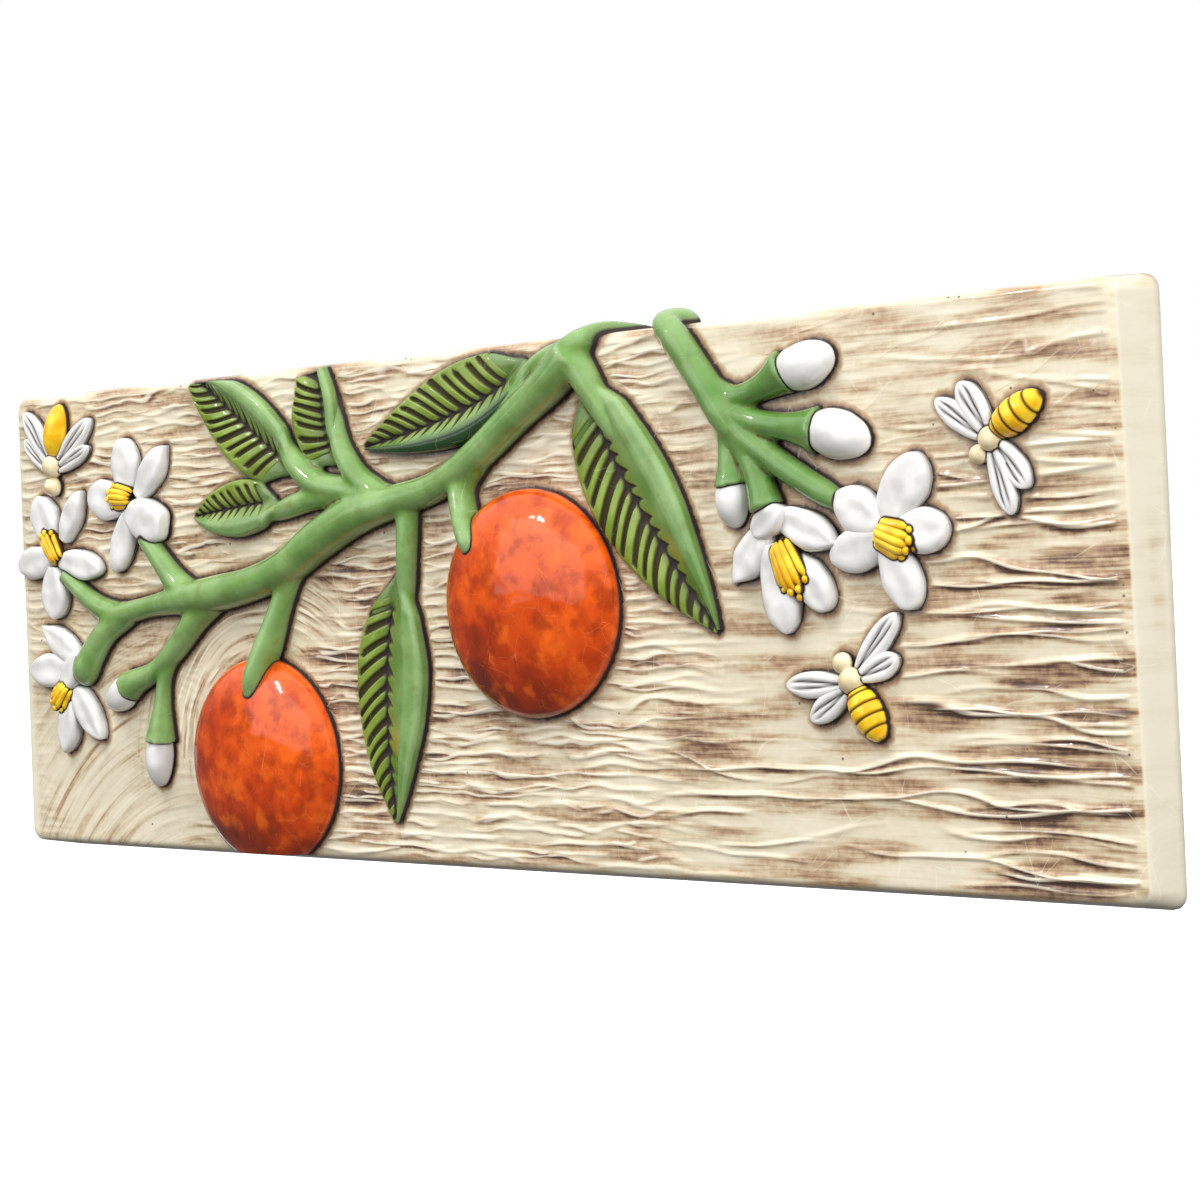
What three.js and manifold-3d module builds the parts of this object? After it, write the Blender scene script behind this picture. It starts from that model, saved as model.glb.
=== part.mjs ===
// A glazed wall tile: one ceramic casting with a fruiting orange branch, blossoms and bees in relief.
// Millimetres. X runs along the tile, Z is up, the front faces -Y and the flat back lies at y = 0.
import * as THREE from 'three';
import { mergeVertices } from 'three/addons/utils/BufferGeometryUtils.js';
import Module from 'manifold-3d';

const wasm = await Module();
wasm.setup();

// Driving dimensions of the slab
const WIDTH = 525;
const HEIGHT = 180;
const THICKNESS = 22;
const CORNER_RADIUS = 5;
const CORNER_STEPS = 4;
const EDGE_ROUND = 2.4; // rounding between the front face and the sides
const DRAFT_TOP = 1.5; // how far the square back stands out past the front, above and below
const DRAFT_BOTTOM = 4;
const LEAN_LEFT = 5.5; // how much the hand-cut ends lean in towards the top
const LEAN_RIGHT = 2.5;

// Driving dimensions of the relief
const RIM = 2.2; // steep rim of each form, before its top curves over
const RIM_SHARE = 0.4; // most that the rim takes of a thin stem's half width
const ROOT = 3; // depth to which each form is set into the slab
const STEM_ROUNDNESS = 1.05; // height of a stem's crest over its half width
const VEIN_DEPTH = 1.3;
const VEIN_SLANT = 0.1; // how far veins run towards the tip, as a share of the leaf's length
const LEAF_ROLL = 6.8; // crest of a leaf's smooth rolled half
const LEAF_BLADE = 3.8; // height of the veined half
const LEAF_GROOVE = 1.8; // height of the channel along the midrib
const PETAL_CREST = 5;
const WING_CREST = 3.4;
const ORANGE_RADIUS = 39;
const ORANGE_DOME = 11.5;

// Points of the front face: x along the tile, z up, and the height above the ground of the relief
function onFace(x, z, height) {
  return new THREE.Vector3(x, -THICKNESS - height, z);
}

// A closed solid from a geometry, with its faces turned outwards
function solidOf(geometry) {
  const bare = geometry.clone();
  bare.deleteAttribute('normal');
  bare.deleteAttribute('uv');
  const merged = mergeVertices(bare, 1e-4);
  const vertProperties = merged.getAttribute('position').array;
  const triVerts = new Uint32Array(merged.index.array);
  const made = new wasm.Manifold(new wasm.Mesh({ numProp: 3, vertProperties, triVerts }));
  if (made.volume() > 0) return made;
  return new wasm.Manifold(
    new wasm.Mesh({ numProp: 3, vertProperties, triVerts: triVerts.slice().reverse() })
  );
}

// A skin over rings of equally many points, with a fan of triangles closing each end
function loft(rings) {
  const count = rings[0].length;
  const points = rings.flat();
  const triangles = [];
  for (let i = 0; i + 1 < rings.length; i++) {
    for (let j = 0; j < count; j++) {
      const a = i * count + j;
      const b = i * count + ((j + 1) % count);
      triangles.push(a, b, a + count, b, b + count, a + count);
    }
  }
  const last = (rings.length - 1) * count;
  for (let j = 0; j < count; j++) {
    const next = (j + 1) % count;
    triangles.push(points.length, next, j);
    triangles.push(points.length + 1, last + j, last + next);
  }
  for (const ring of [rings[0], rings.at(-1)]) {
    const middle = new THREE.Vector3();
    ring.forEach((point) => middle.addScaledVector(point, 1 / count));
    points.push(middle);
  }
  const geometry = new THREE.BufferGeometry().setFromPoints(points);
  geometry.setIndex(triangles);
  return solidOf(geometry);
}

// Slab: a square-cut back and a front that leans in towards the top, its corners and front edges rounded
const BACK_CORNERS = [
  [WIDTH / 2, -HEIGHT / 2 - DRAFT_BOTTOM],
  [WIDTH / 2, HEIGHT / 2 + DRAFT_TOP],
  [-WIDTH / 2, HEIGHT / 2 + DRAFT_TOP],
  [-WIDTH / 2, -HEIGHT / 2 - DRAFT_BOTTOM],
];
const FRONT_CORNERS = [
  [WIDTH / 2, -HEIGHT / 2],
  [WIDTH / 2 - LEAN_RIGHT, HEIGHT / 2],
  [-WIDTH / 2 + LEAN_LEFT, HEIGHT / 2],
  [-WIDTH / 2, -HEIGHT / 2],
];

function slabRing(corners, inset, y) {
  const ring = [];
  corners.forEach(([x, z], corner) => {
    const centreX = x - Math.sign(x) * (inset + CORNER_RADIUS);
    const centreZ = z - Math.sign(z) * (inset + CORNER_RADIUS);
    for (let i = 0; i <= CORNER_STEPS; i++) {
      const angle = (corner - 1 + i / CORNER_STEPS) * (Math.PI / 2);
      const reachX = CORNER_RADIUS * Math.cos(angle);
      const reachZ = CORNER_RADIUS * Math.sin(angle);
      ring.push(new THREE.Vector3(centreX + reachX, y, centreZ + reachZ));
    }
  });
  return ring;
}

function slab() {
  const halfway = EDGE_ROUND * (1 - Math.SQRT1_2);
  return loft([
    slabRing(BACK_CORNERS, 0, 0),
    slabRing(FRONT_CORNERS, 0, -THICKNESS + EDGE_ROUND),
    slabRing(FRONT_CORNERS, halfway, -THICKNESS + halfway),
    slabRing(FRONT_CORNERS, EDGE_ROUND, -THICKNESS),
  ]);
}

// A smooth line through [x, z] points of the front face
function lineThrough(points) {
  return new THREE.CatmullRomCurve3(
    points.map(([x, z]) => new THREE.Vector3(x, 0, z)),
    false,
    'centripetal'
  );
}

// The direction across a line on the face, to the left of its run
function acrossLine(line, t) {
  const run = line.getTangent(t);
  return new THREE.Vector3(-run.z, 0, run.x).normalize();
}

// Values listed at even steps, read at a share of the way along
function along(values, t) {
  const place = t * (values.length - 1);
  const index = Math.min(Math.floor(place), values.length - 2);
  return THREE.MathUtils.lerp(values[index], values[index + 1], place - index);
}

// Stem: a half-round bar along [x, z, half width, lift] points
const STEM_ARC = 4;
function stem(points, arc = STEM_ARC, roundness = STEM_ROUNDNESS) {
  const line = lineThrough(points);
  const halves = points.map((point) => point[2]);
  const lifts = points.map((point) => point[3] ?? 0);
  const steps = points.length - 1;
  const rings = [];
  for (let i = 0; i <= steps; i++) {
    const t = i / steps;
    const middle = line.getPoint(t);
    const across = acrossLine(line, t);
    const half = along(halves, t);
    const lift = along(lifts, t);
    const rim = lift + Math.min(RIM, half * RIM_SHARE);
    const rise = half * roundness;
    const place = (s, height) =>
      onFace(middle.x + across.x * s * half, middle.z + across.z * s * half, height);
    const ring = [place(-1, -ROOT)];
    for (let k = 0; k <= arc; k++) {
      const angle = Math.PI * (1 - k / arc);
      ring.push(place(Math.cos(angle), rim + rise * Math.sin(angle)));
    }
    ring.push(place(1, -ROOT));
    rings.push(ring);
  }
  return loft(rings);
}

// Round tube along [x, depth behind the front face, z, radius] points, for stems that fold over the top edge
const TUBE_SIDES = 8;
function overEdge(points) {
  const path = new THREE.CatmullRomCurve3(
    points.map(([x, depth, z]) => new THREE.Vector3(x, -THICKNESS + depth, z)),
    false,
    'centripetal'
  );
  const radii = points.map((point) => point[3]);
  const steps = points.length - 1;
  const frames = path.computeFrenetFrames(steps);
  const rings = [];
  for (let i = 0; i <= steps; i++) {
    const middle = path.getPointAt(i / steps);
    const radius = along(radii, i / steps);
    const ring = [];
    for (let k = 0; k < TUBE_SIDES; k++) {
      const angle = (k / TUBE_SIDES) * 2 * Math.PI;
      ring.push(
        middle
          .clone()
          .addScaledVector(frames.normals[i], radius * Math.cos(angle))
          .addScaledVector(frames.binormals[i], radius * Math.sin(angle))
      );
    }
    rings.push(ring);
  }
  return loft(rings);
}

// Leaf: a veined half and a smooth rolled half on either side of a channelled midrib.
// side is 1 where the veined half lies left of the run from base to tip, -1 where it lies right.
const LEAF_START = 0.03; // shares of the midrib where the blade begins and ends
const LEAF_TIP = 0.985;
const LEAF_END_HEIGHT = 0.45; // height of the blade at its ends, as a share of its middle
const LEAF_SWELL = 3.2; // how soon the blade reaches its full height
const BASE_BLUNTNESS = 0.75;
const TIP_BLUNTNESS = 0.9;
function leafWidth(t, widest) {
  const share = t < widest ? 1 - t / widest : (t - widest) / (1 - widest);
  const bluntness = t < widest ? BASE_BLUNTNESS : TIP_BLUNTNESS;
  return Math.cos((Math.PI / 2) * share) ** bluntness;
}

const LEAF_SECTION = [
  { s: -1, height: RIM, vein: 0 },
  { s: -0.6, height: LEAF_BLADE, vein: 1 },
  { s: -0.08, height: LEAF_GROOVE, vein: 0 },
  { s: 0.3, height: LEAF_BLADE + 0.6, vein: 0.6 },
  { s: 0.58, height: LEAF_ROLL, vein: 0 },
  { s: 0.88, height: LEAF_ROLL - 1.4, vein: 0 },
  { s: 1, height: RIM, vein: 0 },
];

function leaf({ midrib, side, veined, smooth, widest, veins, cut = LEAF_TIP }) {
  const line = lineThrough(midrib);
  const steps = veins * 2;
  const rings = [];
  for (let i = 0; i <= steps; i++) {
    const t = THREE.MathUtils.lerp(LEAF_START, cut, i / steps);
    const swell = Math.min(1, LEAF_SWELL * t, LEAF_SWELL * (1 - t));
    const fullness = THREE.MathUtils.lerp(LEAF_END_HEIGHT, 1, swell);
    const groove = i % 2 === 1 && i < steps ? VEIN_DEPTH : 0;
    const place = (s, height) => {
      const slanted = Math.min(t + VEIN_SLANT * Math.abs(s) * Math.sin(Math.PI * t), cut);
      const middle = line.getPoint(slanted);
      const across = acrossLine(line, slanted);
      const half = (s < 0 ? veined : smooth) * leafWidth(slanted, widest);
      const offset = -side * s * half;
      return onFace(middle.x + across.x * offset, middle.z + across.z * offset, height);
    };
    const ring = [place(-1, -ROOT)];
    for (const { s, height, vein } of LEAF_SECTION) {
      ring.push(place(s, height * fullness - vein * groove));
    }
    ring.push(place(1, -ROOT));
    rings.push(ring);
  }
  return loft(rings);
}

// Petal or wing: a pillowed blade from its base to its rounded tip
const PETAL_WIDEST = 0.56; // share of its length where a petal is widest
const PETAL_WAIST = 1.12; // over 1, so that the base keeps some width
const PETAL_ROUNDNESS = 1.8;
const PETAL_FULLNESS = 0.6;
const PETAL_STATIONS = [0, 0.3, 0.62, 0.87, 0.985];
const PETAL_SECTION = [-1, -0.4, 0.4, 1];
function petalWidth(t) {
  const reach = t < PETAL_WIDEST ? PETAL_WIDEST * PETAL_WAIST : 1 - PETAL_WIDEST;
  const share = Math.abs(t - PETAL_WIDEST) / reach;
  return (1 - share ** PETAL_ROUNDNESS) ** PETAL_FULLNESS;
}

function petal([x0, z0, x1, z1, width, lift = 0], crest = PETAL_CREST) {
  const line = lineThrough([
    [x0, z0],
    [x1, z1],
  ]);
  const across = acrossLine(line, 0.5);
  const rings = PETAL_STATIONS.map((t) => {
    const middle = line.getPoint(t);
    const half = (width / 2) * petalWidth(t);
    const rise = (crest - RIM) * Math.sqrt(petalWidth(t));
    const place = (s, height) =>
      onFace(middle.x + across.x * s * half, middle.z + across.z * s * half, height);
    const top = PETAL_SECTION.map((s) => place(s, lift + RIM + rise * (1 - s * s)));
    return [place(-1, -ROOT), ...top, place(1, -ROOT)];
  });
  return loft(rings);
}

// Turned form along the face, from [x, z] to [x, z]: profile gives the radius at each share of the way
const TURNED_SIDES = 8;
function turned([x0, z0], [x1, z1], profile, height, stations) {
  const start = onFace(x0, z0, height);
  const end = onFace(x1, z1, height);
  const length = start.distanceTo(end);
  const outline = [new THREE.Vector2(0, 0)];
  for (let i = 1; i < stations; i++) {
    const t = i / stations;
    outline.push(new THREE.Vector2(profile(t), t * length));
  }
  outline.push(new THREE.Vector2(0, length));
  const geometry = new THREE.LatheGeometry(outline, TURNED_SIDES);
  const turn = new THREE.Quaternion().setFromUnitVectors(
    new THREE.Vector3(0, 1, 0),
    end.clone().sub(start).normalize()
  );
  geometry.applyQuaternion(turn).translate(start.x, start.y, start.z);
  return solidOf(geometry);
}

// Orange: a steep rim and a dome, its bottom trimmed where it reaches the tile's lower edge
const ORANGE_SIDES = 22;
const ORANGE_RINGS = 4;
const ORANGE_SHOULDER = 0.85; // under 1, so that the dome is fuller than an ellipsoid
function orange([x, z]) {
  const outline = [new THREE.Vector2(0, -ROOT), new THREE.Vector2(ORANGE_RADIUS, -ROOT)];
  for (let i = 0; i <= ORANGE_RINGS; i++) {
    const angle = (i / ORANGE_RINGS) * (Math.PI / 2);
    const reach = ORANGE_RADIUS * Math.cos(angle) ** ORANGE_SHOULDER;
    outline.push(new THREE.Vector2(i < ORANGE_RINGS ? reach : 0, RIM + ORANGE_DOME * Math.sin(angle)));
  }
  const geometry = new THREE.LatheGeometry(outline, ORANGE_SIDES);
  geometry.rotateX(Math.PI).translate(x, -THICKNESS, z);
  return solidOf(geometry).subtract(belowTile(x));
}

function belowTile(x) {
  const length = 3 * ORANGE_RADIUS;
  const geometry = new THREE.BoxGeometry(length, length, length);
  const top = -HEIGHT / 2 + EDGE_ROUND / 2;
  return solidOf(geometry.translate(x, -THICKNESS, top - length / 2));
}

// Egg: radius of a pointed egg at a share of the way along, fuller near its start as skew falls below 1
const EGG_FULLNESS = 0.62;
function egg(t, width, skew) {
  return (width / 2) * Math.sin(Math.PI * t ** skew) ** EGG_FULLNESS;
}

// Bud: an egg with its narrow end outwards, its axis just above the ground
const BODY_AXIS = 1; // height of the axis of buds and bees
const BUD_SKEW = 0.8;
const BUD_STATIONS = 7;
function bud([x0, z0, x1, z1, width]) {
  return turned([x0, z0], [x1, z1], (t) => egg(t, width, BUD_SKEW), BODY_AXIS, BUD_STATIONS);
}

// Stamens: rods fanned out from the blossom's middle, [x, z] of the base and of the tip, and the fan's width
const STAMEN_COUNT = 3;
const STAMEN_STATIONS = [
  { t: 0, gather: 0.6, half: 1.9, lift: 3 },
  { t: 0.5, gather: 0.95, half: 2.3, lift: 4.2 },
  { t: 1, gather: 1.1, half: 2.5, lift: 2.6 },
];
const STAMEN_STEP = 0.06; // how much shorter each rod is than the one before it
const STAMEN_DROP = 0.3; // and how much lower
const STAMEN_ARC = 2;
function stamens([x0, z0, x1, z1, spread]) {
  const line = lineThrough([[x0, z0], [x1, z1]]);
  const across = acrossLine(line, 0.5);
  const rods = [];
  for (let i = 0; i < STAMEN_COUNT; i++) {
    const aside = (i / (STAMEN_COUNT - 1) - 0.5) * spread;
    const points = STAMEN_STATIONS.map(({ t, gather, half, lift }) => {
      const place = line.getPoint(t * (1 - i * STAMEN_STEP)).addScaledVector(across, aside * gather);
      return [place.x, place.z, half, lift - i * STAMEN_DROP];
    });
    rods.push(stem(points, STAMEN_ARC));
  }
  return rods;
}

// Bee: head, thorax and abdomen in a row, with wings on either side
const STRIPE_DEPTH = 0.5;
const STRIPE_STATIONS = 3; // stations from one groove to the next
const PLAIN_STATIONS = 8;
const ABDOMEN_SKEW = 0.9;
const BALL_AXIS = 1.6; // height of the middle of the head and thorax
const BALL_STATIONS = 4;
function bee({ head, headHalf, thorax, thoraxHalf, abdomen, width, stripes, wings }) {
  const [x0, z0, x1, z1] = abdomen;
  const stations = stripes > 0 ? stripes * STRIPE_STATIONS + 2 : PLAIN_STATIONS;
  const banded = (t) => {
    const grooved = stripes > 0 && Math.round(t * stations) % STRIPE_STATIONS === 0;
    return egg(t, width, ABDOMEN_SKEW) - (grooved ? STRIPE_DEPTH : 0);
  };
  const ball = ([x, z], half) => {
    const profile = (t) => half * Math.sin(Math.PI * t);
    return turned([x, z - half], [x, z + half], profile, BALL_AXIS, BALL_STATIONS);
  };
  return [
    turned([x0, z0], [x1, z1], banded, BODY_AXIS, stations),
    ball(thorax, thoraxHalf),
    ball(head, headHalf),
    ...wings.map((wing) => petal(wing, WING_CREST)),
  ];
}

// Ground ridge: a low wavering comb mark from one x to another
const RIDGE_HALF = 1.1;
const RIDGE_END = 0.4; // half width at the ridge's ends
const RIDGE_SPAN = 26;
const RIDGE_WAVE = 1.6; // how far a ridge wavers up and down
const RIDGE_WAVE_LENGTH = 17;
const RIDGE_ROUNDNESS = 0.5;
const RIDGE_ARC = 2;
function ridge(fromX, toX, z, phase) {
  const points = [];
  const spans = Math.max(2, Math.round((toX - fromX) / RIDGE_SPAN));
  for (let i = 0; i <= spans; i++) {
    const x = THREE.MathUtils.lerp(fromX, toX, i / spans);
    const end = i === 0 || i === spans;
    const wave = RIDGE_WAVE * Math.sin(x / RIDGE_WAVE_LENGTH + phase);
    points.push([x, z + wave, end ? RIDGE_END : RIDGE_HALF]);
  }
  return stem(points, RIDGE_ARC, RIDGE_ROUNDNESS);
}

// Layout: [x, z, half width, lift] along each stem, from its root outwards
const STEMS = {
  main: [
    [54, 84, 7], [44, 76, 6.8], [29, 67, 6.2], [4, 51.5, 5.8], [-15, 43, 5.5], [-35, 39, 6],
    [-55, 35, 7.2], [-75, 27, 7.4], [-95, 17, 6.8], [-115, 11.5, 6.6], [-135, 8.5, 7],
    [-152, 7, 6.2], [-174, 4.5, 4.4], [-194, 1.5, 4.6], [-203, 0.5, 4.2],
  ],
  toBlossomA: [[-196, 1, 4.4], [-209, 5.5, 4], [-218, 11, 3.8], [-228, 18.5, 3.6]],
  toBlossomB: [[-150, 7, 5], [-161, 13, 4.6], [-169, 23, 4.2], [-176, 32, 4.2]],
  toBlossomC: [[-194, 1, 4.6], [-206, -7, 5], [-213, -15, 5.6], [-218, -21, 6]],
  toLeftBuds: [[-138, 7, 5.4], [-150, -1, 5], [-160, -11.5, 4.6], [-170, -19, 4.2]],
  toBudLeft: [[-163, -14, 4], [-175, -21, 4.2], [-185, -24.5, 5.2], [-190, -26.5, 5.8]],
  toBudDown: [[-163, -13, 3.8], [-169, -24, 3.4], [-171, -36, 4.4], [-172.5, -47.5, 6.6]],
  toOrangeLeft: [
    [-92, 18, 4.6], [-98, 5, 4], [-103, -9, 3.8, 1.5], [-108, -23, 3.5, 6], [-109.5, -27.5, 2.6, 6.5],
  ],
  toOrangeRight: [
    [2, 50, 5], [-3, 42, 4.6, 0.5], [1, 32, 4, 3], [6.5, 23, 3.5, 6], [8, 19.5, 2.6, 6.5],
  ],
  toLeafHanging: [[-31, 40, 4.6], [-30, 30, 4.3], [-32, 18, 4.3], [-35, 4, 4], [-38, -12, 2, -1]],
  toUpperLeaves: [[-44, 40, 5.2], [-60, 43.5, 4.6], [-75, 46.5, 4.4], [-86, 54, 4], [-98, 66, 2.5, -1]],
  toLeafSmall: [[-66, 43, 3.4], [-80, 42, 3.2], [-92, 40, 3], [-103, 38, 2.4, -1]],
  toLeafUpright: [[-44, 41, 4.4], [-55, 49, 4.4], [-62.5, 60, 4.2], [-65.5, 74, 3.4], [-67, 86, 2, -1]],
  toLeafCentre: [[52, 86, 4.2], [40, 83, 3.6], [30, 80, 2.8], [20, 77, 1.6, -1]],
  toLeafRight: [[52, 84, 6], [57.5, 77, 5.6], [62, 69, 5], [69, 60, 3.6], [77, 49, 1.8, -1]],
  spray: [[98, 86, 5.2], [104, 78, 5.2], [111, 68.5, 5.4], [117, 60, 5.6], [121, 54, 4.8]],
  toBudRightTop: [[111, 69, 4.4], [121, 65, 4], [133, 67.5, 4.4], [142, 71.5, 6.4]],
  toBudRightMid: [[116, 62, 4.6], [130, 56.5, 4.2], [144, 54, 4.8], [153, 52.5, 6.8]],
  toBlossomE: [[118, 57, 4.6], [134, 46, 4.4], [150, 36, 4.4], [163, 28.5, 3.4]],
  toBlossomD: [[119, 56, 4.4], [126, 46, 4], [130, 38, 4.8], [133, 29, 6]],
  toBudRightLow: [[112, 66, 4], [116.5, 54, 3.2], [118, 46, 3.8], [118.8, 38, 5.6]],
};

// Stems that fold over the top edge: [x, depth behind the front, z, radius]
const OVER_EDGE = [
  [[47, -4, 77, 5.4], [54, -2, 86, 5.2], [61, 4, 89.5, 4.8], [70, 8, 89.5, 3.8], [82, 10, 88, 2.4]],
  [[105, -3, 78, 4.6], [98, -3, 87, 4.8], [93, 1, 90.5, 4.8], [92, 8, 90.3, 4.4], [97, 13, 88, 3]],
];

const LEAVES = [
  {
    midrib: [[-86, 51], [-106, 65], [-127, 80.5], [-143, 86.5]],
    side: 1, veined: 16.5, smooth: 13.5, widest: 0.4, veins: 8,
  },
  {
    midrib: [[-99, 39.5], [-116, 40], [-132, 39.5], [-147, 38]],
    side: -1, veined: 10, smooth: 11.5, widest: 0.4, veins: 6,
  },
  {
    midrib: [[-64, 52], [-70.5, 65], [-72, 80], [-77, 104]],
    side: 1, veined: 16, smooth: 8.5, widest: 0.5, veins: 5, cut: 0.78,
  },
  {
    midrib: [[35, 82], [10, 71], [-18, 64.5], [-52, 58.5]],
    side: -1, veined: 16.5, smooth: 11.5, widest: 0.45, veins: 9,
  },
  {
    midrib: [[-33, 18], [-43, -12], [-46, -45], [-44, -77]],
    side: -1, veined: 14.5, smooth: 21.5, widest: 0.44, veins: 9,
  },
  {
    midrib: [[58, 78], [69, 50], [87, 20], [110.5, -10.5]],
    side: -1, veined: 17.5, smooth: 16, widest: 0.5, veins: 9,
  },
];

const ORANGES = [
  [-112, -55],
  [28.6, 1.4],
];

// Blossoms: petals as [base x, base z, tip x, tip z, width, lift], stamens as [base x, z, tip x, z, spread]
const BLOSSOMS = [
  {
    petals: [
      [-235, 30, -243, 50.5, 16], [-228, 31, -215, 51, 10], [-230, 24, -204, 19.5, 10.5],
      [-234, 22, -235.5, 0, 15.5], [-235, 25, -256.5, 22, 14],
    ],
    stamens: [-229, 23.5, -236.5, 34, 8],
  },
  {
    petals: [
      [-185, 48, -186.5, 70, 14], [-179.5, 46.5, -161, 66, 11], [-185, 41, -162, 35, 16, 1.5],
      [-183, 42, -195.5, 18.5, 11], [-187, 44, -209, 49, 15.5],
    ],
    stamens: [-181, 46.5, -193, 48, 9],
  },
  {
    petals: [
      [-219, -17.5, -244.5, -2.5, 11], [-225, -21, -254.5, -20, 13], [-228, -31, -233, -53.5, 11.5],
      [-225, -27, -209.5, -48, 11.5], [-219, -16, -230, -27, 10, 1.5],
    ],
    stamens: [-227, -26, -235.5, -34, 9],
  },
  {
    petals: [
      [133, 23, 117.5, 5.5, 11], [128, 22, 141, 28.5, 9, 1.2], [138, 26, 159.5, 17.5, 11],
      [133.5, 19, 138.5, -10.5, 13], [142, 14, 155.5, -3, 12],
    ],
    stamens: [138, 18, 144, 5, 8.5],
  },
  {
    petals: [
      [177, 21, 160, 32.5, 14], [178, 23, 192, 43, 14], [180, 20, 201, 20, 12.5],
      [178, 17, 187.5, -3.5, 12.5], [179, 18, 157, 13, 13],
    ],
    stamens: [177, 20, 187, 17, 9],
  },
];

const BUDS = [
  [-186, -25, -204.5, -34, 12.5],
  [-172.5, -43, -176, -66, 13],
  [138, 70.5, 161, 75, 14],
  [149, 53.5, 173, 48, 14.5],
  [118.6, 42, 119, 23.5, 12],
];

const BEES = [
  {
    head: [-232.5, 53.5], headHalf: 4, thorax: [-232, 61.5], thoraxHalf: 4.8,
    abdomen: [-231.5, 66, -226, 84], width: 12, stripes: 0,
    wings: [
      [-235, 64, -248.5, 82, 8], [-235, 60, -250, 74, 6.5],
      [-228.5, 62, -208, 76.5, 6.5], [-228.5, 60, -209.5, 68, 5],
    ],
  },
  {
    head: [213, 41.8], headHalf: 2.9, thorax: [217.3, 46.2], thoraxHalf: 3.7,
    abdomen: [218, 47.8, 234.8, 58], width: 11, stripes: 4,
    wings: [
      [215.5, 48, 206.5, 62.2, 7], [213.5, 48, 199, 58.3, 6],
      [219, 44, 228.8, 30.5, 6.5], [217.5, 43, 223.5, 24, 6.5],
    ],
  },
  {
    head: [159, -19.5], headHalf: 3.2, thorax: [162.2, -25], thoraxHalf: 4.2,
    abdomen: [163, -27, 172.5, -43], width: 11.5, stripes: 4,
    wings: [
      [164.5, -21, 179.5, -6, 6.5], [165.5, -23, 179.5, -19, 7.5],
      [158.5, -26, 137.5, -26.5, 7], [159.5, -28, 146, -36.5, 7],
    ],
  },
];

// Combed ground: the longest ridges, on the plain right-hand end of the tile
const RIDGE_ROWS = 8;
const RIDGE_LOWEST = -83;
const RIDGE_PITCH = 8;
const RIDGE_RIGHT = 253;
const RIDGE_LEFT_LOW = 84; // where ridges start below the bees
const RIDGE_LEFT_HIGH = 186; // and beside them
const LOW_ROWS = 5;
function ridges() {
  const made = [];
  for (let row = 0; row < RIDGE_ROWS; row++) {
    const fromX = row < LOW_ROWS ? RIDGE_LEFT_LOW + 9 * (row % 3) : RIDGE_LEFT_HIGH;
    made.push(ridge(fromX, RIDGE_RIGHT - 3 * (row % 2), RIDGE_LOWEST + row * RIDGE_PITCH, row * 2));
  }
  return made;
}

function tile() {
  const forms = [
    ...Object.values(STEMS).map((points) => stem(points)),
    ...OVER_EDGE.map((points) => overEdge(points)),
    ...LEAVES.map((shape) => leaf(shape)),
    ...ORANGES.map((centre) => orange(centre)),
    ...BLOSSOMS.flatMap(({ petals, stamens: bundle }) => [
      ...petals.map((shape) => petal(shape)),
      ...stamens(bundle),
    ]),
    ...BUDS.map((shape) => bud(shape)),
    ...BEES.flatMap((shape) => bee(shape)),
    ...ridges(),
  ];
  return forms.reduce((whole, form) => whole.add(form), slab());
}

function geometryOf(solid) {
  const { vertProperties, triVerts, numProp } = solid.getMesh();
  const geometry = new THREE.BufferGeometry();
  geometry.setAttribute('position', new THREE.BufferAttribute(vertProperties, numProp));
  geometry.setIndex(new THREE.BufferAttribute(triVerts, 1));
  geometry.computeVertexNormals();
  return geometry;
}

const glaze = new THREE.MeshStandardMaterial({ color: 0xece4c8, roughness: 0.25, metalness: 0 });
const mesh = new THREE.Mesh(geometryOf(tile()), glaze);
mesh.name = 'tile';

const group = new THREE.Group();
group.add(mesh);
export default group;
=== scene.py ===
# %% [markdown]
# # A glazed wall tile with an orange branch
# The real object is one long ceramic slab. Its front was combed while the clay was soft, a fruiting branch
# with blossoms and bees stands out from it in relief, and every form has its own coloured glaze. The packed
# solid gives the size and the places. This lesson dresses it: each glaze becomes a material, and each form a
# fine mesh.

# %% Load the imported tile
import math

import bmesh
import bpy
import numpy as np
from mathutils import Matrix, Vector


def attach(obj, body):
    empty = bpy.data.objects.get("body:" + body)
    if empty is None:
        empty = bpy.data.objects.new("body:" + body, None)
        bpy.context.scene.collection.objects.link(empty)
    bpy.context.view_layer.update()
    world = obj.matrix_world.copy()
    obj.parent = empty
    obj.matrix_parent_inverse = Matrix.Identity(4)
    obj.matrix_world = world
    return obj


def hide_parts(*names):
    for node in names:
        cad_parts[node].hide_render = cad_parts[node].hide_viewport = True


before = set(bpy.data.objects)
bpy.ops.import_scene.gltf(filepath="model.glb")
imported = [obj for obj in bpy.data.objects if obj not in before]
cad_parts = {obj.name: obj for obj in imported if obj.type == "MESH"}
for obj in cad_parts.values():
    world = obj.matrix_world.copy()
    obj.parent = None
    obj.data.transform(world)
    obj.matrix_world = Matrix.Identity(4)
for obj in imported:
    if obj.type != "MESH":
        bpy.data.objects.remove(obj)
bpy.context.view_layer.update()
scene = bpy.context.scene
MM = 0.001


# %% [markdown]
# ## Camera and floor
# The picture looks along the tile from its right-hand end, a little under a metre away, through a long lens.
# The camera's axes are worked out from its yaw, pitch and roll, so that they can be read and changed one at a
# time.

# %% Camera
IMAGE_WIDTH = 1200
FOCAL_PIXELS = 2800
SENSOR_WIDTH = 36
EYE = Vector((0.6827, -0.7114, 0.0259))
YAW = 0.7362
PITCH = -0.0258
ROLL = -0.0511

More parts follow.
